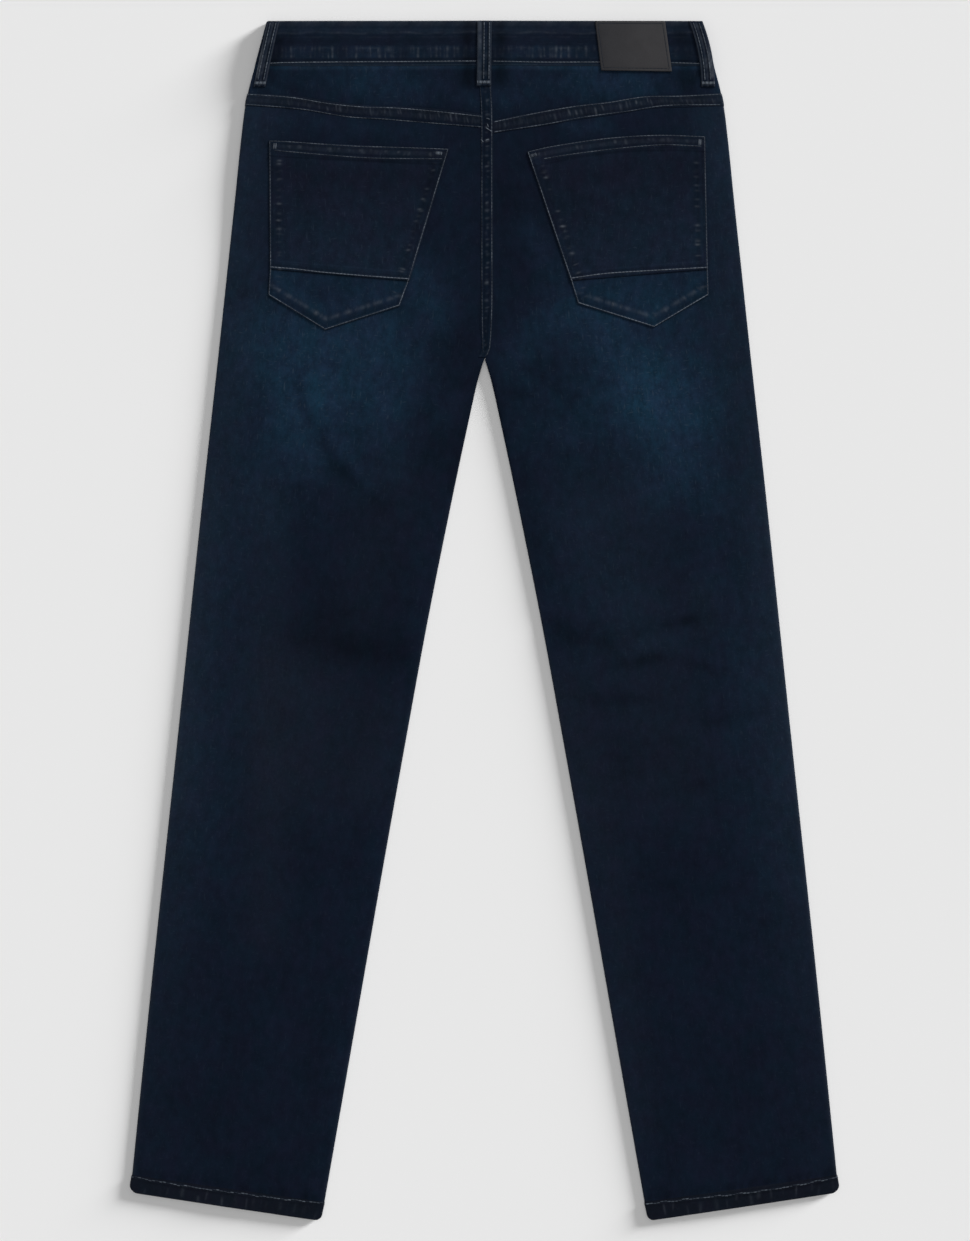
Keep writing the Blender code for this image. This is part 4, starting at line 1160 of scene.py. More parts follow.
def makeWaistband():
    kinds, values, sides, reach = bandStations()
    sectionDrops, sectionOut = bandSection()
    half = jeans["bandWall"] / 2
    rows = len(sectionDrops)
    mesh, column, row = gridMesh("waistStrip", len(kinds) - 1, rows)
    i, j = column.astype(int), row.astype(int) % rows
    kind, value, side = kinds[i], values[i], sides[i]
    q, out = sectionDrops[j], sectionOut[j]
    fold, onBack = kind == folded, kind == back
    share = np.where(fold, side, value)
    x = share * (sideX(q) - foldRadius)
    drop = np.where(onBack | fold, q, q + jeans["frontDip"] * (1 - share**2))
    pastLap = value * reach - band["lap"] - band["lapClear"]
    overLap = (jeans["bandWall"] + jeans["gap"]) * (1 - ease(0.0, band["lapFade"], pastLap))
    rise = np.where(kind == lapped, overLap, 0.0)
    swell, looks = bandLooks(x, q, drop, out > 0.5)
    angle = np.where(fold, value, 0.0)
    foldX = side * (sideX(q) - foldRadius + (foldRadius - half + half * out) * np.cos(angle))
    foldZ = foldRadius + (foldRadius - half + half * out) * np.sin(angle)
    backZ = backUnder(x, drop) - band["sunk"] + half + half * out + swell
    z = np.where(onBack, backZ, frontLevel(x, drop) + rise + half - half * out)
    setCloth(mesh, np.where(fold, foldX, x), top - drop, np.where(fold, foldZ, z), math.pi / 2, looks)
    bm = bmesh.new()
    bm.from_mesh(mesh)
    bmesh.ops.remove_doubles(bm, verts=bm.verts, dist=1e-6)
    bmesh.ops.holes_fill(bm, edges=[edge for edge in bm.edges if edge.is_boundary], sides=0)
    bmesh.ops.recalc_face_normals(bm, faces=bm.faces)
    bm.to_mesh(mesh)
    bm.free()
    finishPiece("waistStrip", mesh, denimBody, "waistband")


# Share along a side whose ends turn down, and how far each point has turned;
# fine is the width at each end where the steps are shorter, and the share of steps it takes
def turnedGrid(step, count, size, turn, fine=None, both=True, steps=3):
    first = np.clip((steps - step) / steps, 0.0, 1.0) * np.pi / 2
    last = np.clip((step - count + steps) / steps, 0.0, 1.0) * np.pi / 2 if both else 0.0 * step
    flatEnd = count - steps if both else count
    flat = np.clip((step - steps) / (flatEnd - steps), 0.0, 1.0)
    if fine:
        near, part = fine[0] / size, fine[1]
        flat = np.interp(flat, [0, part, 1 - part, 1], [0, near, 1 - near, 1])
    run = turn * (1 - np.sin(first)) + flat * (size - turn * (2 if both else 1)) + turn * np.sin(last)
    return run / size, (1 - np.cos(first)) + (1 - np.cos(last))


# 1 where a sheet is flat, and 0 where an edge has turned all the way down
def held(*falls):
    return math.prod(1 - np.clip(fall, 0, 1) for fall in falls)


# Shares across and down a sheet whose four edges turn down, and how flat it is
def turnedSheet(cut, column, row):
    turn = cut["turn"]
    across, fallAcross = turnedGrid(column, cut["columns"], cut["across"], turn, cut.get("fineAcross"))
    down, fallDown = turnedGrid(row, cut["rows"], cut["down"], turn, cut.get("fineDown"))
    return across, down, held(fallAcross, fallDown)


def between(start, end, share):
    return mix(start[0], end[0], share), mix(start[1], end[1], share)


# Back pockets
pockets = {
    "left": {
        "mouthSide": (-0.2032, 0.1128), "mouthSeat": (-0.0335, 0.1208),
        "seamSide": (-0.2027, 0.2345), "seamSeat": (-0.0708, 0.2458),
        "footSide": (-0.2042, 0.2588), "tip": (-0.1501, 0.2918), "footSeat": (-0.0797, 0.2692),
        "bow": -0.0005,
    },
    "right": {
        "mouthSide": (0.2084, 0.1088), "mouthSeat": (0.0401, 0.1234),
        "seamSide": (0.2110, 0.2348), "seamSeat": (0.0812, 0.2455),
        "footSide": (0.2117, 0.2588), "tip": (0.1598, 0.2894), "footSeat": (0.0877, 0.2668),
        "bow": 0.0066,
    },
}
pocketCut = {
    "columns": 118, "rows": 124, "wall": 0.0009, "turn": 0.0009, "level": 0.0014, "grain": 0.05,
    "across": 0.150, "down": 0.122, "fineAcross": (0.014, 0.20), "fineDown": (0.016, 0.26),
    "hem": 0.0150, "lap": 0.0085, "allowance": 0.0088, "layer": 0.0006, "puff": 0.0005,
    "edgeLength": 0.55, "spacing": 0.0090, "hemSpacing": 0.0046,
    "hemRidges": {"slant": 0.1, "width": 0.19, "span": (0.0034, 0.0076)},
    "edgeRise": 0.00022, "ringRise": 0.00030, "hemRise": 0.00022, "groove": 0.00014,
}
footCut = {
    **pocketCut, "rows": 46, "across": 0.130, "down": 0.036, "fineAcross": (0.012, 0.17), "tuck": 0.0022,
}


# Puckers and worn marks that follow the pocket's edges
def pocketEdges(side, x, drop):
    pocket, cut, seed = pockets[side], pocketCut, 80 + signs[side]
    corners = ("mouthSide", "seamSide", "footSide", "tip", "footSeat", "seamSeat", "mouthSeat")
    fromEdge, share = nearLine(x, drop, [pocket[corner] for corner in corners])
    along = share * cut["edgeLength"]
    mark = puckers(along, fromEdge, cut["edgeLength"], cut["spacing"], seed, width=0.11)
    ring = mark * hump(fromEdge, cut["allowance"] + 0.0006, 0.0022)
    allowance = 1 - ease(cut["allowance"] - 0.0012, cut["allowance"] + 0.0012, fromEdge)
    ringWear = ring * (0.25 + blotches(along, 0.08, seed + 4))
    worn, dip = besideStitches(x, drop, seamRows[f"pocket_{side}"])
    edgeLine = worn + 0.08 * hump(fromEdge, 0.0002, 0.0007)
    rise = cut["edgeRise"] * allowance + cut["ringRise"] * ring
    return fromEdge, along, mark, ringWear, edgeLine, dip, rise


def footLooks(side, x, drop):
    pocket = pockets[side]
    _, along, _, ringWear, edgeLine, dip, rise = pocketEdges(side, x, drop)
    nearFoot, _ = nearLine(x, drop, [pocket["footSide"], pocket["tip"], pocket["footSeat"]])
    inner = hump(nearFoot, 0.0096, 0.0019) * blotches(along, 0.020, 80 + signs[side] + 9)
    return {
        "fade": 0.33 + 0.12 * hump(nearFoot, 0.0150, 0.0060) + 0.16 * hump(x, 0.1500, 0.0350),
        "wear": ringWear * 0.35 + 0.34 * inner + edgeLine,
        "darkAndShade": dip + humps(nearFoot, [(0.18, 0.0058, 0.0024), (0.10, 0.0124, 0.0014)]),
    }, rise + 0.00022 * inner


def pocketLooks(side, x, drop, mouthDrop, seamDrop):
    cut, seed = pocketCut, 80 + signs[side]
    fromEdge, _, mark, ringWear, edgeLine, dip, rise = pocketEdges(side, x, drop)
    fromMouth, fromLap = drop - mouthDrop, seamDrop - drop
    hemMark = puckers(x + 0.3, fromMouth, 0.6, cut["hemSpacing"], seed + 2, **cut["hemRidges"])
    body = plateau(fromMouth, 0.0024, 0.0040, 0.0072, 0.0090)
    layers = 2 - ease(cut["hem"] - 0.0010, cut["hem"] + 0.0010, fromMouth)
    layers = layers - ease(cut["lap"] - 0.0008, cut["lap"] + 0.0008, fromLap)
    rise = rise * (1 - body) + cut["layer"] * layers + cut["hemRise"] * hemMark * body
    rise = rise - cut["groove"] * humps(fromMouth, [(1, 0.0012, 0.0007), (1, 0.0106, 0.0007)])
    belowHem = ease(0.012, 0.020, fromMouth)
    hemWear = (0.05 + 0.60 * hemMark * blotches(x + 0.4, 0.04, seed + 6)) * body
    besideRing = 0.22 * hump(fromEdge, cut["allowance"] - 0.0004, 0.0030) * (1 - mark) * belowHem
    return {
        "fade": 0.14 + 0.12 * ease(0.050, 0.112, fromMouth) - 0.10 * hump(fromMouth, 0.030, 0.016),
        "wear": ringWear * (1 - body) * belowHem + hemWear + edgeLine,
        # Painted shadow along the lapped edge over the lower piece, and painted shade in the dips beside
        # the stitches
        "darkAndShade": 0.10 * body * (1 - hemMark) + 0.14 * hump(fromLap, 0.0004, 0.0010)
        + 0.12 * hump(fromMouth, 0.0140, 0.0018) + besideRing + dip,
    }, rise


def makePocket(side):
    pocket, cut = pockets[side], pocketCut

    def place(column, row):
        across, down, hold = turnedSheet(cut, column, row)
        mouthX, mouthDrop = between(pocket["mouthSide"], pocket["mouthSeat"], across)
        mouthDrop = mouthDrop - 4 * pocket["bow"] * across * (1 - across)
        seamX, seamDrop = between(pocket["seamSide"], pocket["seamSeat"], across)
        x, drop = mix(mouthX, seamX, down), mix(mouthDrop, seamDrop, down)
        looks, rise = pocketLooks(side, x, drop, mouthDrop, seamDrop)
        puff = cut["puff"] * np.clip(np.sin(np.pi * across) * np.sin(np.pi * down), 0.0, 1.0) ** 0.7
        rise = cut["level"] + rise + puff + 0.8 * waviness(x * 1.4, drop * 1.3)
        return x, drop, backTop(x, drop) + rise * hold, looks

    gridCloth(
        f"backPocket_{side}", cut, place, f"back_pocket_{side}", denimPocket,
        grainAngle=signs[side] * cut["grain"],
    )


# The pointed lower piece, whose top is tucked under the main piece
def makePocketFoot(side):
    pocket, cut = pockets[side], footCut
    foot = [pocket["footSide"], pocket["tip"], pocket["footSeat"]]
    tipShare = (foot[1][0] - foot[0][0]) / (foot[2][0] - foot[0][0])

    def place(column, row):
        across, fallAcross = turnedGrid(
            column, cut["columns"], cut["across"], cut["turn"], cut["fineAcross"]
        )
        # The nearest column stands on the tip, so that the point is sharp
        nearest = np.unique(across)[np.argmin(np.abs(np.unique(across) - tipShare))]
        across = np.where(across == nearest, tipShare, across)
        up, fallDown = turnedGrid(cut["rows"] - row, cut["rows"], cut["down"], cut["turn"], both=False)
        seamX, seamDrop = between(pocket["seamSide"], pocket["seamSeat"], across)
        seamDrop = seamDrop - cut["tuck"]
        footX, footDrop = (np.interp(across, [0, tipShare, 1], values) for values in zip(*foot))
        x, drop = mix(seamX, footX, 1 - up), mix(seamDrop, footDrop, 1 - up)
        looks, rise = footLooks(side, x, drop)
        tucked = 1 - ease(0.0018, 0.0030, drop - seamDrop)
        # Painted shadow where the foot runs under the edge of the main piece
        looks["darkAndShade"] = looks["darkAndShade"] + 0.35 * hump(drop - seamDrop, 0.0026, 0.0009)
        rise = (cut["level"] + rise - cut["layer"] * tucked) * held(fallAcross, fallDown)
        return x, drop, backTop(x, drop) + rise, looks

    gridCloth(
        f"backPocketFoot_{side}", cut, place, f"back_pocket_foot_{side}",
        grainAngle=signs[side] * cut["grain"],
    )


# Belt loops on the back: x of the middle line at the top, halfway and at the foot
loops = {
    "back": {
        "xs": (0.0000, -0.0002, -0.0006), "width": 0.0136, "atSeat": True, "rows": (-0.0003, 0.0046),
    },
    "side_left": {
        "xs": (-0.1986, -0.2056, -0.2121), "width": 0.0114, "atSeat": False, "rows": (-0.0027, 0.0027),
    },
    "side_right": {
        "xs": (0.1990, 0.2078, 0.2110), "width": 0.0130, "atSeat": False, "rows": (-0.0030, 0.0024),
    },
}
loopCut = {
    "columns": 26, "rows": 70, "wall": 0.0011, "turn": 0.0010, "thick": 0.0016, "down": 0.0620,
    "clear": 0.00005,
    "arch": 0.0011, "archEnd": 0.9, "overBand": 0.0020, "overYoke": 0.0015, "overSeam": 0.0006,
    "spacing": 0.0075, "fold": (-0.0042, 0.0016), "foldRise": 0.00025, "groove": 0.00022, "pucker": 0.00018,
    "gutter": 0.00012, "tackAt": 0.945, "tackHeight": 0.0030, "tackInset": 0.0012,
}


def loopPoint(loop, share):
    topX, middleX, footX = loop["xs"]
    curve = 2 * (topX + footX - 2 * middleX)
    x = topX + (footX - topX - curve) * share + curve * share * share
    return x, share * loopCut["down"] + jeans["gap"]


def loopUnder(loop, share):
    middle, drop = loopPoint(loop, share)
    onYoke = loopCut["overYoke"] + (loopCut["overSeam"] if loop["atSeat"] else 0.0)
    pastBand = ease(jeans["bandHeight"] + 0.001, jeans["bandHeight"] + 0.010, drop)
    arch = loopCut["arch"] * np.sin(np.pi * np.clip(share / loopCut["archEnd"], 0, 1)) ** 0.7
    return backUnder(middle, drop) + mix(loopCut["overBand"], onYoke, pastBand) + arch


def makeLoop(name):
    loop, seed = loops[name], len(name)
    cut = {**loopCut, "across": loop["width"]}
    first, second = loop["rows"]

    def place(column, row):
        across, share, hold = turnedSheet(cut, column, row)
        middle, drop = loopPoint(loop, share)
        c = (across - 0.5) * loop["width"]
        fold = hump(c, *cut["fold"]) if loop["atSeat"] else 0.0
        groove = humps(c, [(1, first, 0.0006), (1, second, 0.0006)])
        gutter = humps(c, [(1, first - 0.0012, 0.0006), (1, second - 0.0013, 0.0006)])
        mark = puckers(drop, c, cut["down"], cut["spacing"], 90 + seed)
        raised = cut["foldRise"] * fold - cut["groove"] * groove + cut["pucker"] * mark
        raised = raised - cut["gutter"] * gutter
        z = loopUnder(loop, share) + cut["clear"] + (cut["thick"] + raised) * hold
        uneven = blotches(drop, 0.03, 95 + seed)
        half = loop["width"] / 2 - 0.0007
        wear = fold * (0.3 + 0.9 * uneven) * (1 + 1.5 * hump(drop, 0.004, 0.016))
        wear = 0.30 * (wear + hump(c, -half, 0.0009) + hump(c, half, 0.0007))
        wear = wear + 0.20 * mark * hump(c, 0.0, loop["width"] * 0.4)
        if not loop["atSeat"]:
            streaks = blotches(drop + 2.5 * c, 0.011, 99 + seed)
            wear = wear + 0.18 * hump(c, (first + second) / 2, 0.0011) * mix(0.4, 1.3, streaks)
            outside = -1 if loop["xs"][0] < 0 else 1
            rubbed = hump(c, outside * 0.0038, 0.0015) * plateau(drop, 0.018, 0.036, 0.052, 0.056)
            wear = wear + 0.90 * rubbed * mix(0.3, 1.2, streaks)
        # The gutters beside the stitch rows are darkened, as painted shade in the grooves
        return middle + c, drop, z, {"fade": 0.06 + 0.10 * fold, "wear": wear, "darkAndShade": 0.62 * gutter}

    gridCloth(f"beltLoop_{name}", cut, place, f"belt_loop_{name}")


# Leather patch, bare, with a line pressed in along its edges
patch = {
    "corners": [(0.1042, 0.0004), (0.1702, 0.0004), (0.1768, 0.0481), (0.1099, 0.0472)],
    "columns": 66, "rows": 48, "across": 0.066, "down": 0.047, "turn": 0.0005, "wall": 0.0012,
    "thick": 0.0014, "clear": 0.00005, "line": 0.0024, "lineWidth": 0.0006, "lineDepth": 0.00020,
    "curl": 0.00015, "curlWidth": 0.0050, "ripple": 0.00012,
}


def makePatch():
    corners = patch["corners"]

    def place(column, row):
        across, down, hold = turnedSheet(patch, column, row)
        head, foot = between(*corners[:2], across), between(corners[3], corners[2], across)
        x, drop = between(head, foot, down)
        under = backUnder(x, drop) + jeans["bandWall"] - band["sunk"] + jeans["gap"] + patch["clear"]
        fromEdge, _ = nearLine(x, drop, corners + corners[:1])
        line = hump(fromEdge, patch["line"], patch["lineWidth"])
        ripple = patch["ripple"] * np.sin(150 * x + 60 * drop) * np.sin(170 * drop + 1.0)
        thick = patch["thick"] - patch["lineDepth"] * line + ripple
        thick = thick - patch["curl"] * hump(fromEdge, 0.0, patch["curlWidth"])
        # Share of the way towards the lit right side of the patch
        litShare = ease(0.120, 0.165, x)
        return x, drop, under + thick * mix(0.25, 1.0, hold), {
            # The pressed line is darkened as painted shade, most on the right
            "darkAndShade": 0.40 * line * mix(0.1, 1.0, litShare) - 0.035,
            # Painted highlight along the right edge and along the top edge, over a little even wear
            "wear": 0.05 + 0.20 * hump(fromEdge, 0.0008, 0.0007) * litShare
            + 0.12 * hump(drop, 0.0010, 0.0012),
        }

    gridCloth("waistPatch", patch, place, "waist_patch", patchLeather)


# Front pieces, which lie underneath and stay plain
frontCut = {
    "columns": 40, "rows": 126, "topRows": 16, "wall": 0.0011, "inset": 0.0014, "levelDrop": 0.160,
    "sideDrop": 0.138, "mouthX": 0.112, "mouthEnd": 0.118, "flyX": 0.003, "aboveEnd": 0.0008,
    "edgeRise": 0.0002,
}
facingCut = {
    "columns": 24, "rows": 18, "wall": 0.0009, "startX": 0.100, "past": 0.012, "endDrop": 0.130,
    "over": 0.0015,
}
shieldCut = {
    "columns": 12, "rows": 40, "wall": 0.0011, "startX": 0.007, "width": 0.039, "endDrop": 0.225,
    "over": 0.0015,
}
frontLoopCut = {
    "columns": 12, "rows": 30, "wall": 0.0011, "turn": 0.0008, "across": 0.0125, "down": 0.062,
    "thick": 0.0009, "groove": 0.00012,
}


def waistDrop(x):
    reach = float(sideX(jeans["bandHeight"])) - foldRadius
    return jeans["bandHeight"] + jeans["frontDip"] * (1 - np.minimum(1.0, np.abs(x) / reach) ** 2)


# A scooped pocket mouth, from the waistband out to the side
def scoopDrop(x, startX):
    endX = sideX(frontCut["mouthEnd"]) - frontCut["inset"]
    share = np.clip((np.abs(x) - startX) / (endX - startX), 0.0, 1.0)
    scoop = np.sqrt(np.clip(1 - (1 - share) ** 2, 0.0, 1.0))
    return mix(waistDrop(x), frontCut["mouthEnd"], scoop)


def makeFrontPanel(side):
    sign, cut = signs[side], frontCut
    levelDrop, topRows, inset = cut["levelDrop"], cut["topRows"], cut["inset"]
    hem = jeans["length"] - cut["aboveEnd"]

    def flyX(drop):
        return mix(cut["flyX"], 0.0, np.clip(drop / jeans["crotchDrop"], 0, 1)) + sign * jeans["gap"] / 2

    def place(column, row):
        share = column / cut["columns"]
        share = mix(share, share**0.8, 0.5)
        xTop = mix(flyX(levelDrop), sign * (sideX(cut["sideDrop"]) - inset), share)
        mouth = scoopDrop(xTop, cut["mouthX"]) + jeans["gap"]
        dropTop = mix(mouth, levelDrop, np.clip(row / topRows, 0, 1))
        xTop = np.where(share > 0, sign * np.minimum(np.abs(xTop), sideX(dropTop) - inset), xTop)
        innerDrop = mix(levelDrop, hem, np.clip((row - topRows) / (cut["rows"] - topRows), 0, 1))
        tilt = jeans["hemTilt"] * (innerDrop - levelDrop) / (hem - levelDrop)
        legStart = sign * (inseamX(innerDrop) + inset + jeans["gap"] / 2)
        start = np.where(innerDrop > jeans["crotchDrop"], legStart, flyX(innerDrop))
        end = sign * (sideX(innerDrop - tilt) - inset)
        width = np.abs(sign * sideX(innerDrop - tilt) - start)
        dropLeg = innerDrop - tilt * share - cornerCut(share * width, width, hem - innerDrop)
        dropLeg = dropLeg + hemDroop(share, hem - innerDrop)
        isTop = row <= topRows
        x = np.where(isTop, xTop, mix(start, end, share))
        drop = np.where(isTop, dropTop, dropLeg)
        edge = hump(np.minimum(share, 1 - share), 0.0, 0.012)
        fade = 0.10 + 0.4 * hump(shareAcross(x, drop), 0.5, 0.25) * hump(drop, 0.40, 0.14)
        return x, drop, frontLevel(x, drop) + cut["edgeRise"] * edge, {"fade": fade, "wear": 0.06 * edge}

    gridCloth(
        f"frontPanel_{side}", cut, place, f"front_panel_{side}", grainAngle=-sign * jeans["legGrain"],
        faceUp=False,
    )


def makeFacing(side):
    cut = facingCut

    def place(column, row):
        share = column / cut["columns"]
        x = mix(cut["startX"], sideX(jeans["bandHeight"]) - frontCut["inset"], share)
        foot = np.where(share < 1, scoopDrop(x, cut["startX"]) + cut["past"], cut["endDrop"])
        drop = mix(waistDrop(x) + jeans["gap"], foot, row / cut["rows"])
        x = mix(x, sideX(drop) - frontCut["inset"], share**3)
        return signs[side] * x, drop, frontLevel(x, drop) + cut["over"], {"fade": 0.05}

    gridCloth(f"pocketFacing_{side}", cut, place, f"pocket_facing_{side}", faceUp=False)


def makeFlyShield():
    cut = shieldCut

    def place(column, row):
        down = row / cut["rows"]
        width = cut["width"] * (1 - ease(0.70, 1.0, down) * 0.75)
        x = cut["startX"] - width * column / cut["columns"]
        drop = mix(waistDrop(x) + jeans["gap"], cut["endDrop"], down)
        return x, drop, frontLevel(x, drop) + cut["over"], {"fade": 0.05}

    gridCloth("flyShield", cut, place, "fly_shield", faceUp=False)


def makeFrontLoop(side):
    cut = frontLoopCut

    def place(column, row):
        across, share, hold = turnedSheet(cut, column, row)
        x = signs[side] * stack["loopX"] + (across - 0.5) * cut["across"]
        z = cut["thick"] * (1 - hold) + cut["groove"] * hump(np.abs(across - 0.5), 0.25, 0.05) * hold
        return x, stack["loopDrops"][0] + share * cut["down"], z, {"fade": 0.1, "wear": 0.15 * (1 - hold)}

    gridCloth(f"beltLoop_front_{side}", cut, place, f"belt_loop_front_{side}", faceUp=False)


for side in signs:
    makeBackPanel(side)
    makeYoke(side)
print("back panels and yokes made")
for side in signs:
    makeHem(side)
    makeYokeFell(side)
makeSeatFell()
makeWaistband()
print("seams, hems and waistband made")
for side in signs:
    makePocket(side)
    makePocketFoot(side)
for name in loops:
    makeLoop(name)
makePatch()
print("pockets, loops and patch made")
for side in signs:
    makeFrontPanel(side)
    makeFacing(side)
    makeFrontLoop(side)
makeFlyShield()
print("front pieces made")

# Sewing: each stitch is one small capsule laid on the uppermost of the pieces it is sewn to
rowCloth = {"waistband": ["waistStrip"], "seat": ["seatSeam"]}
for side in signs:
    rowCloth[f"yoke_{side}"] = [f"yokeSeam_{side}"]
    rowCloth[f"hem_{side}"] = [f"hem_{side}"]
    rowCloth[f"pocket_{side}"] = [f"backPocket_{side}", f"backPocketFoot_{side}"]
for name in loops:
    rowCloth[f"loop_{name}"] = [f"beltLoop_{name}"]
rowCloth["patch"] = ["waistPatch"]
bpy.context.view_layer.update()
depsgraph = bpy.context.evaluated_depsgraph_get()
surfaces = {
    name: BVHTree.FromObject(pieces[name], depsgraph) for names in rowCloth.values() for name in names
}
stitch = {
    "pitch": 0.0034, "length": 0.0038, "radius": 0.00042, "hemRadius": 0.00056, "hemWaver": 0.0012,
    "patchRadius": 0.00024, "tackRadius": 0.00036, "tackPitch": 0.00075, "sink": 0.25, "flattened": 0.85,
    "sag": 0.5, "rayFrom": 0.05,
}


# Height and upward normal of the top cloth at a place
def uppermost(x, y, sewnTo):
    height, normal = 0.0, None
    for name in sewnTo:
        hit, facing, _, _ = surfaces[name].ray_cast(Vector((x, y, stitch["rayFrom"])), Vector((0, 0, -1)))
        if hit is not None and hit.z > height:
            height, normal = hit.z, facing if facing.z > 0 else -facing
    return height, normal


def stitchForm():
    bm = bmesh.new()
    bmesh.ops.create_uvsphere(bm, u_segments=6, v_segments=5, radius=1.0)
    bmesh.ops.rotate(bm, verts=bm.verts, matrix=Matrix.Rotation(math.pi / 2, 3, "Y"))
    verts = np.array([vert.co[:] for vert in bm.verts])
    faces = sorted([vert.index for vert in face.verts] for face in bm.faces)
    bm.free()
    return verts, faces


stitchVerts, stitchFaces = stitchForm()


# Places along a seam a pitch apart, with their directions
def smoothRun(points, pitch, form):
    points = np.array(points)
    steps = np.concatenate([[0], np.cumsum(np.hypot(*np.diff(points, axis=0).T))])
    count = max(1, int(round(steps[-1] / pitch)))
    middle = (np.arange(count) + 0.5) * steps[-1] / count
    follow = straightAt if form == "straight" or len(points) < 3 else curveAt

    def at(where):
        where = np.clip(where, 0, steps[-1])
        return np.column_stack([follow(list(zip(steps, values)), where) for values in points.T])

    return at(middle), at(middle + 0.001) - at(middle - 0.001), middle


def addStitch(group, place, direction, length, radius, tone, sink):
    y = top - place[1]
    height, normal = uppermost(place[0], y, group["sewnTo"])
    if normal is None:
        return
    along = Vector((direction[0], -direction[1], 0.0))
    along = (along - normal * along.dot(normal)).normalized()
    across = normal.cross(along)
    centre = Vector((place[0], y, height)) + normal * radius * (0.8 - sink)
    form = stitchVerts * (length / 2, radius, radius * stitch["flattened"])
    form[:, 2] -= radius * stitch["sag"] * (stitchVerts[:, 0] ** 2)
    group["verts"].append(form @ np.array([along[:], across[:], normal[:]]) + np.array(centre[:]))
    group["tones"].append(tone)


# A row of stitches whose brightness wanders from low to high
def sewRow(group, points, low, high, seed, scale, form="curved", radius=stitch["radius"], waver=0.0):
    places, directions, middle = smoothRun(points, stitch["pitch"], form)
    rng = np.random.default_rng(seed)
    tones = mix(low, high, blotches(middle, scale, seed) ** 1.2) * rng.uniform(0.74, 1.22, len(middle))
    radii = radius * rng.uniform(0.88, 1.10, len(middle))
    places[:, 1] += waver * (blotches(middle, 0.026, seed + 50) - 0.5)
    for place, direction, tone, size in zip(places, directions, tones, radii):
        addStitch(group, place, direction, stitch["length"], size, tone, stitch["sink"])


# A short bar of close stitches
def barTack(group, x, drop, width, height, angle, low, high, seed):
    rng = np.random.default_rng(seed)
    count = max(3, int(width / stitch["tackPitch"]))
    c, s = math.cos(angle), math.sin(angle)
    for number in range(count):
        along = (number + 0.5) / count * width - width / 2
        tone = mix(low, high, 0.5 + 0.5 * math.sin(number * 1.35 + seed)) * rng.uniform(0.85, 1.15)
        lean = rng.uniform(-0.18, 0.18)
        place, direction = (x + along * c, drop + along * s), (-s + lean * c, c + lean * s)
        addStitch(group, place, direction, height, stitch["tackRadius"], tone, 0.0)


def newGroup(name):
    return {"name": f"stitches_{name}", "verts": [], "tones": [], "sewnTo": rowCloth[name]}


def finishStitches(group):
    each = len(stitchVerts)
    mesh = bpy.data.meshes.new(group["name"])
    starts = range(0, len(group["verts"]) * each, each)
    faces = [[vert + start for vert in face] for start in starts for face in stitchFaces]
    mesh.from_pydata(np.concatenate(group["verts"]).tolist(), [], faces)
    layer = mesh.attributes.new("tone", "FLOAT", "POINT")
    layer.data.foreach_set("value", np.repeat(np.clip(group["tones"], 0, 1), each).astype(np.float32))
    finishPiece(group["name"], mesh, threadTonal)


# Bar tacks at the pockets' mouths: x, drop, width, height, angle, dullest, brightest, seed
mouthTacks = {
    "pocket_left": [
        (-0.1975, 0.1186, 0.0030, 0.0062, 0.0, 0.35, 0.85, 3),
        (-0.0430, 0.1252, 0.0060, 0.0034, 0.1, 0.35, 0.85, 4),
    ],
    "pocket_right": [
        (0.0462, 0.1270, 0.0060, 0.0034, -0.3, 0.15, 0.45, 5),
        (0.2030, 0.1148, 0.0030, 0.0060, 0.0, 0.30, 0.75, 6),
    ],
}
patchRow = [(0.1068, 0.0030), (0.1677, 0.0030), (0.1740, 0.0455), (0.1123, 0.0447), (0.1068, 0.0030)]
seed = 200
for name, rows in seamRows.items():
    group = newGroup(name)
    sizes = {"radius": stitch["hemRadius"], "waver": stitch["hemWaver"]} if name.startswith("hem") else {}
    for points, low, high, scale, form in rows:
        seed += 1
        sewRow(group, points, low, high, seed, scale, form, **sizes)
    for tack in mouthTacks.get(name, []):
        barTack(group, *tack)
    finishStitches(group)
for name, loop in loops.items():
    group = newGroup(f"loop_{name}")
    for offset in loop["rows"]:
        points = [loopPoint(loop, float(share)) for share in np.linspace(0.03, 0.90, 8)]
        seed += 1
        sewRow(group, [(x + offset, drop) for x, drop in points], 0.30, 0.80, seed, 0.030)
    width = loop["width"] - loopCut["tackInset"]
    barTack(group, *loopPoint(loop, loopCut["tackAt"]), width, loopCut["tackHeight"], 0.0, 0.35, 1.0, seed)
    finishStitches(group)
group = newGroup("patch")
sewRow(group, patchRow, 0.02, 0.10, 301, 0.05, "straight", stitch["patchRadius"])
finishStitches(group)
print("sewing done")

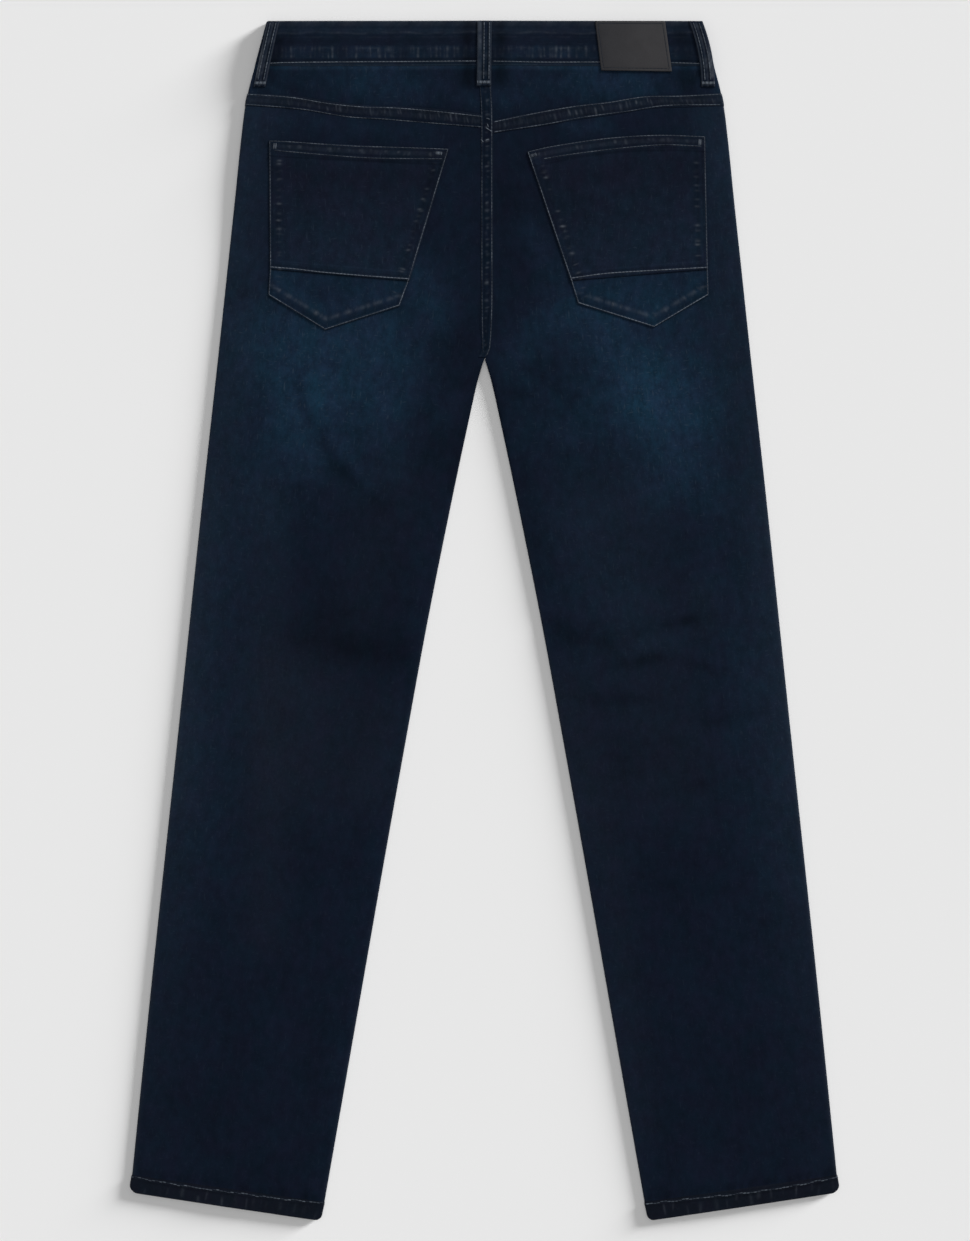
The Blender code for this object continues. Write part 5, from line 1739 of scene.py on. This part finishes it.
# Floor, light and camera
studio = {
    "floorSize": 60.0, "floorZ": -0.0002, "floorColour": (0.85, 0.85, 0.85, 1), "ambient": 0.28,
    "lens": 85.0, "camera": (0.0005, -0.0005, 2.768),
    # Height and heading in degrees, power, and width in degrees
    "lights": {
        "keyLight": (32.0, 48.0, 1.06, 18.0),
        "floorFill": (88.0, 45.0, 0.61, 40.0),
        "floorRake": (8.5, 30.0, 9.95, 15.0),
    },
}
bm = bmesh.new()
bmesh.ops.create_grid(bm, x_segments=1, y_segments=1, size=studio["floorSize"])
bmesh.ops.translate(bm, verts=bm.verts, vec=(0, 0, studio["floorZ"]))
floorMesh = bpy.data.meshes.new("floor")
bm.to_mesh(floorMesh)
bm.free()
floor = bpy.data.objects.new("floor", floorMesh)
bpy.context.scene.collection.objects.link(floor)
floorMaterial, _, floorShader = newMaterial("paleFloor", 0.95, 0.0)
floorShader.inputs["Base Color"].default_value = studio["floorColour"]
floorMesh.materials.append(floorMaterial)

world = bpy.data.worlds.new("softRoom")
bpy.context.scene.world = world
world.use_nodes = True
room = world.node_tree.nodes["Background"]
room.inputs["Color"].default_value = (1.0, 1.0, 1.0, 1)
room.inputs["Strength"].default_value = studio["ambient"]


def addSun(name, height, heading, power, spread):
    data = bpy.data.lights.new(name, "SUN")
    data.energy = power
    data.angle = math.radians(spread)
    sun = bpy.data.objects.new(name, data)
    bpy.context.scene.collection.objects.link(sun)
    up, turn = math.radians(height), math.radians(heading)
    toward = Vector((-math.cos(turn) * math.cos(up), -math.sin(turn) * math.cos(up), -math.sin(up)))
    sun.rotation_euler = toward.to_track_quat("-Z", "Y").to_euler()
    return sun


# The floor has its own pair of lights, so that it is almost white beside the softly lit denim
suns = {name: addSun(name, *form) for name, form in studio["lights"].items()}
floorOnly = bpy.data.collections.new("floorOnly")
floorOnly.objects.link(floor)
notFloor = bpy.data.collections.new("notFloor")
notFloor.objects.link(floor)
notFloor.collection_objects[0].light_linking.link_state = "EXCLUDE"
suns["floorFill"].light_linking.receiver_collection = floorOnly
suns["floorRake"].light_linking.receiver_collection = floorOnly
suns["keyLight"].light_linking.receiver_collection = notFloor

cameraData = bpy.data.cameras.new("camera")
cameraData.lens = studio["lens"]
camera = bpy.data.objects.new("camera", cameraData)
camera.location = studio["camera"]
bpy.context.scene.collection.objects.link(camera)
bpy.context.scene.camera = camera
bpy.context.scene.view_settings.view_transform = "Standard"
print("stage set")
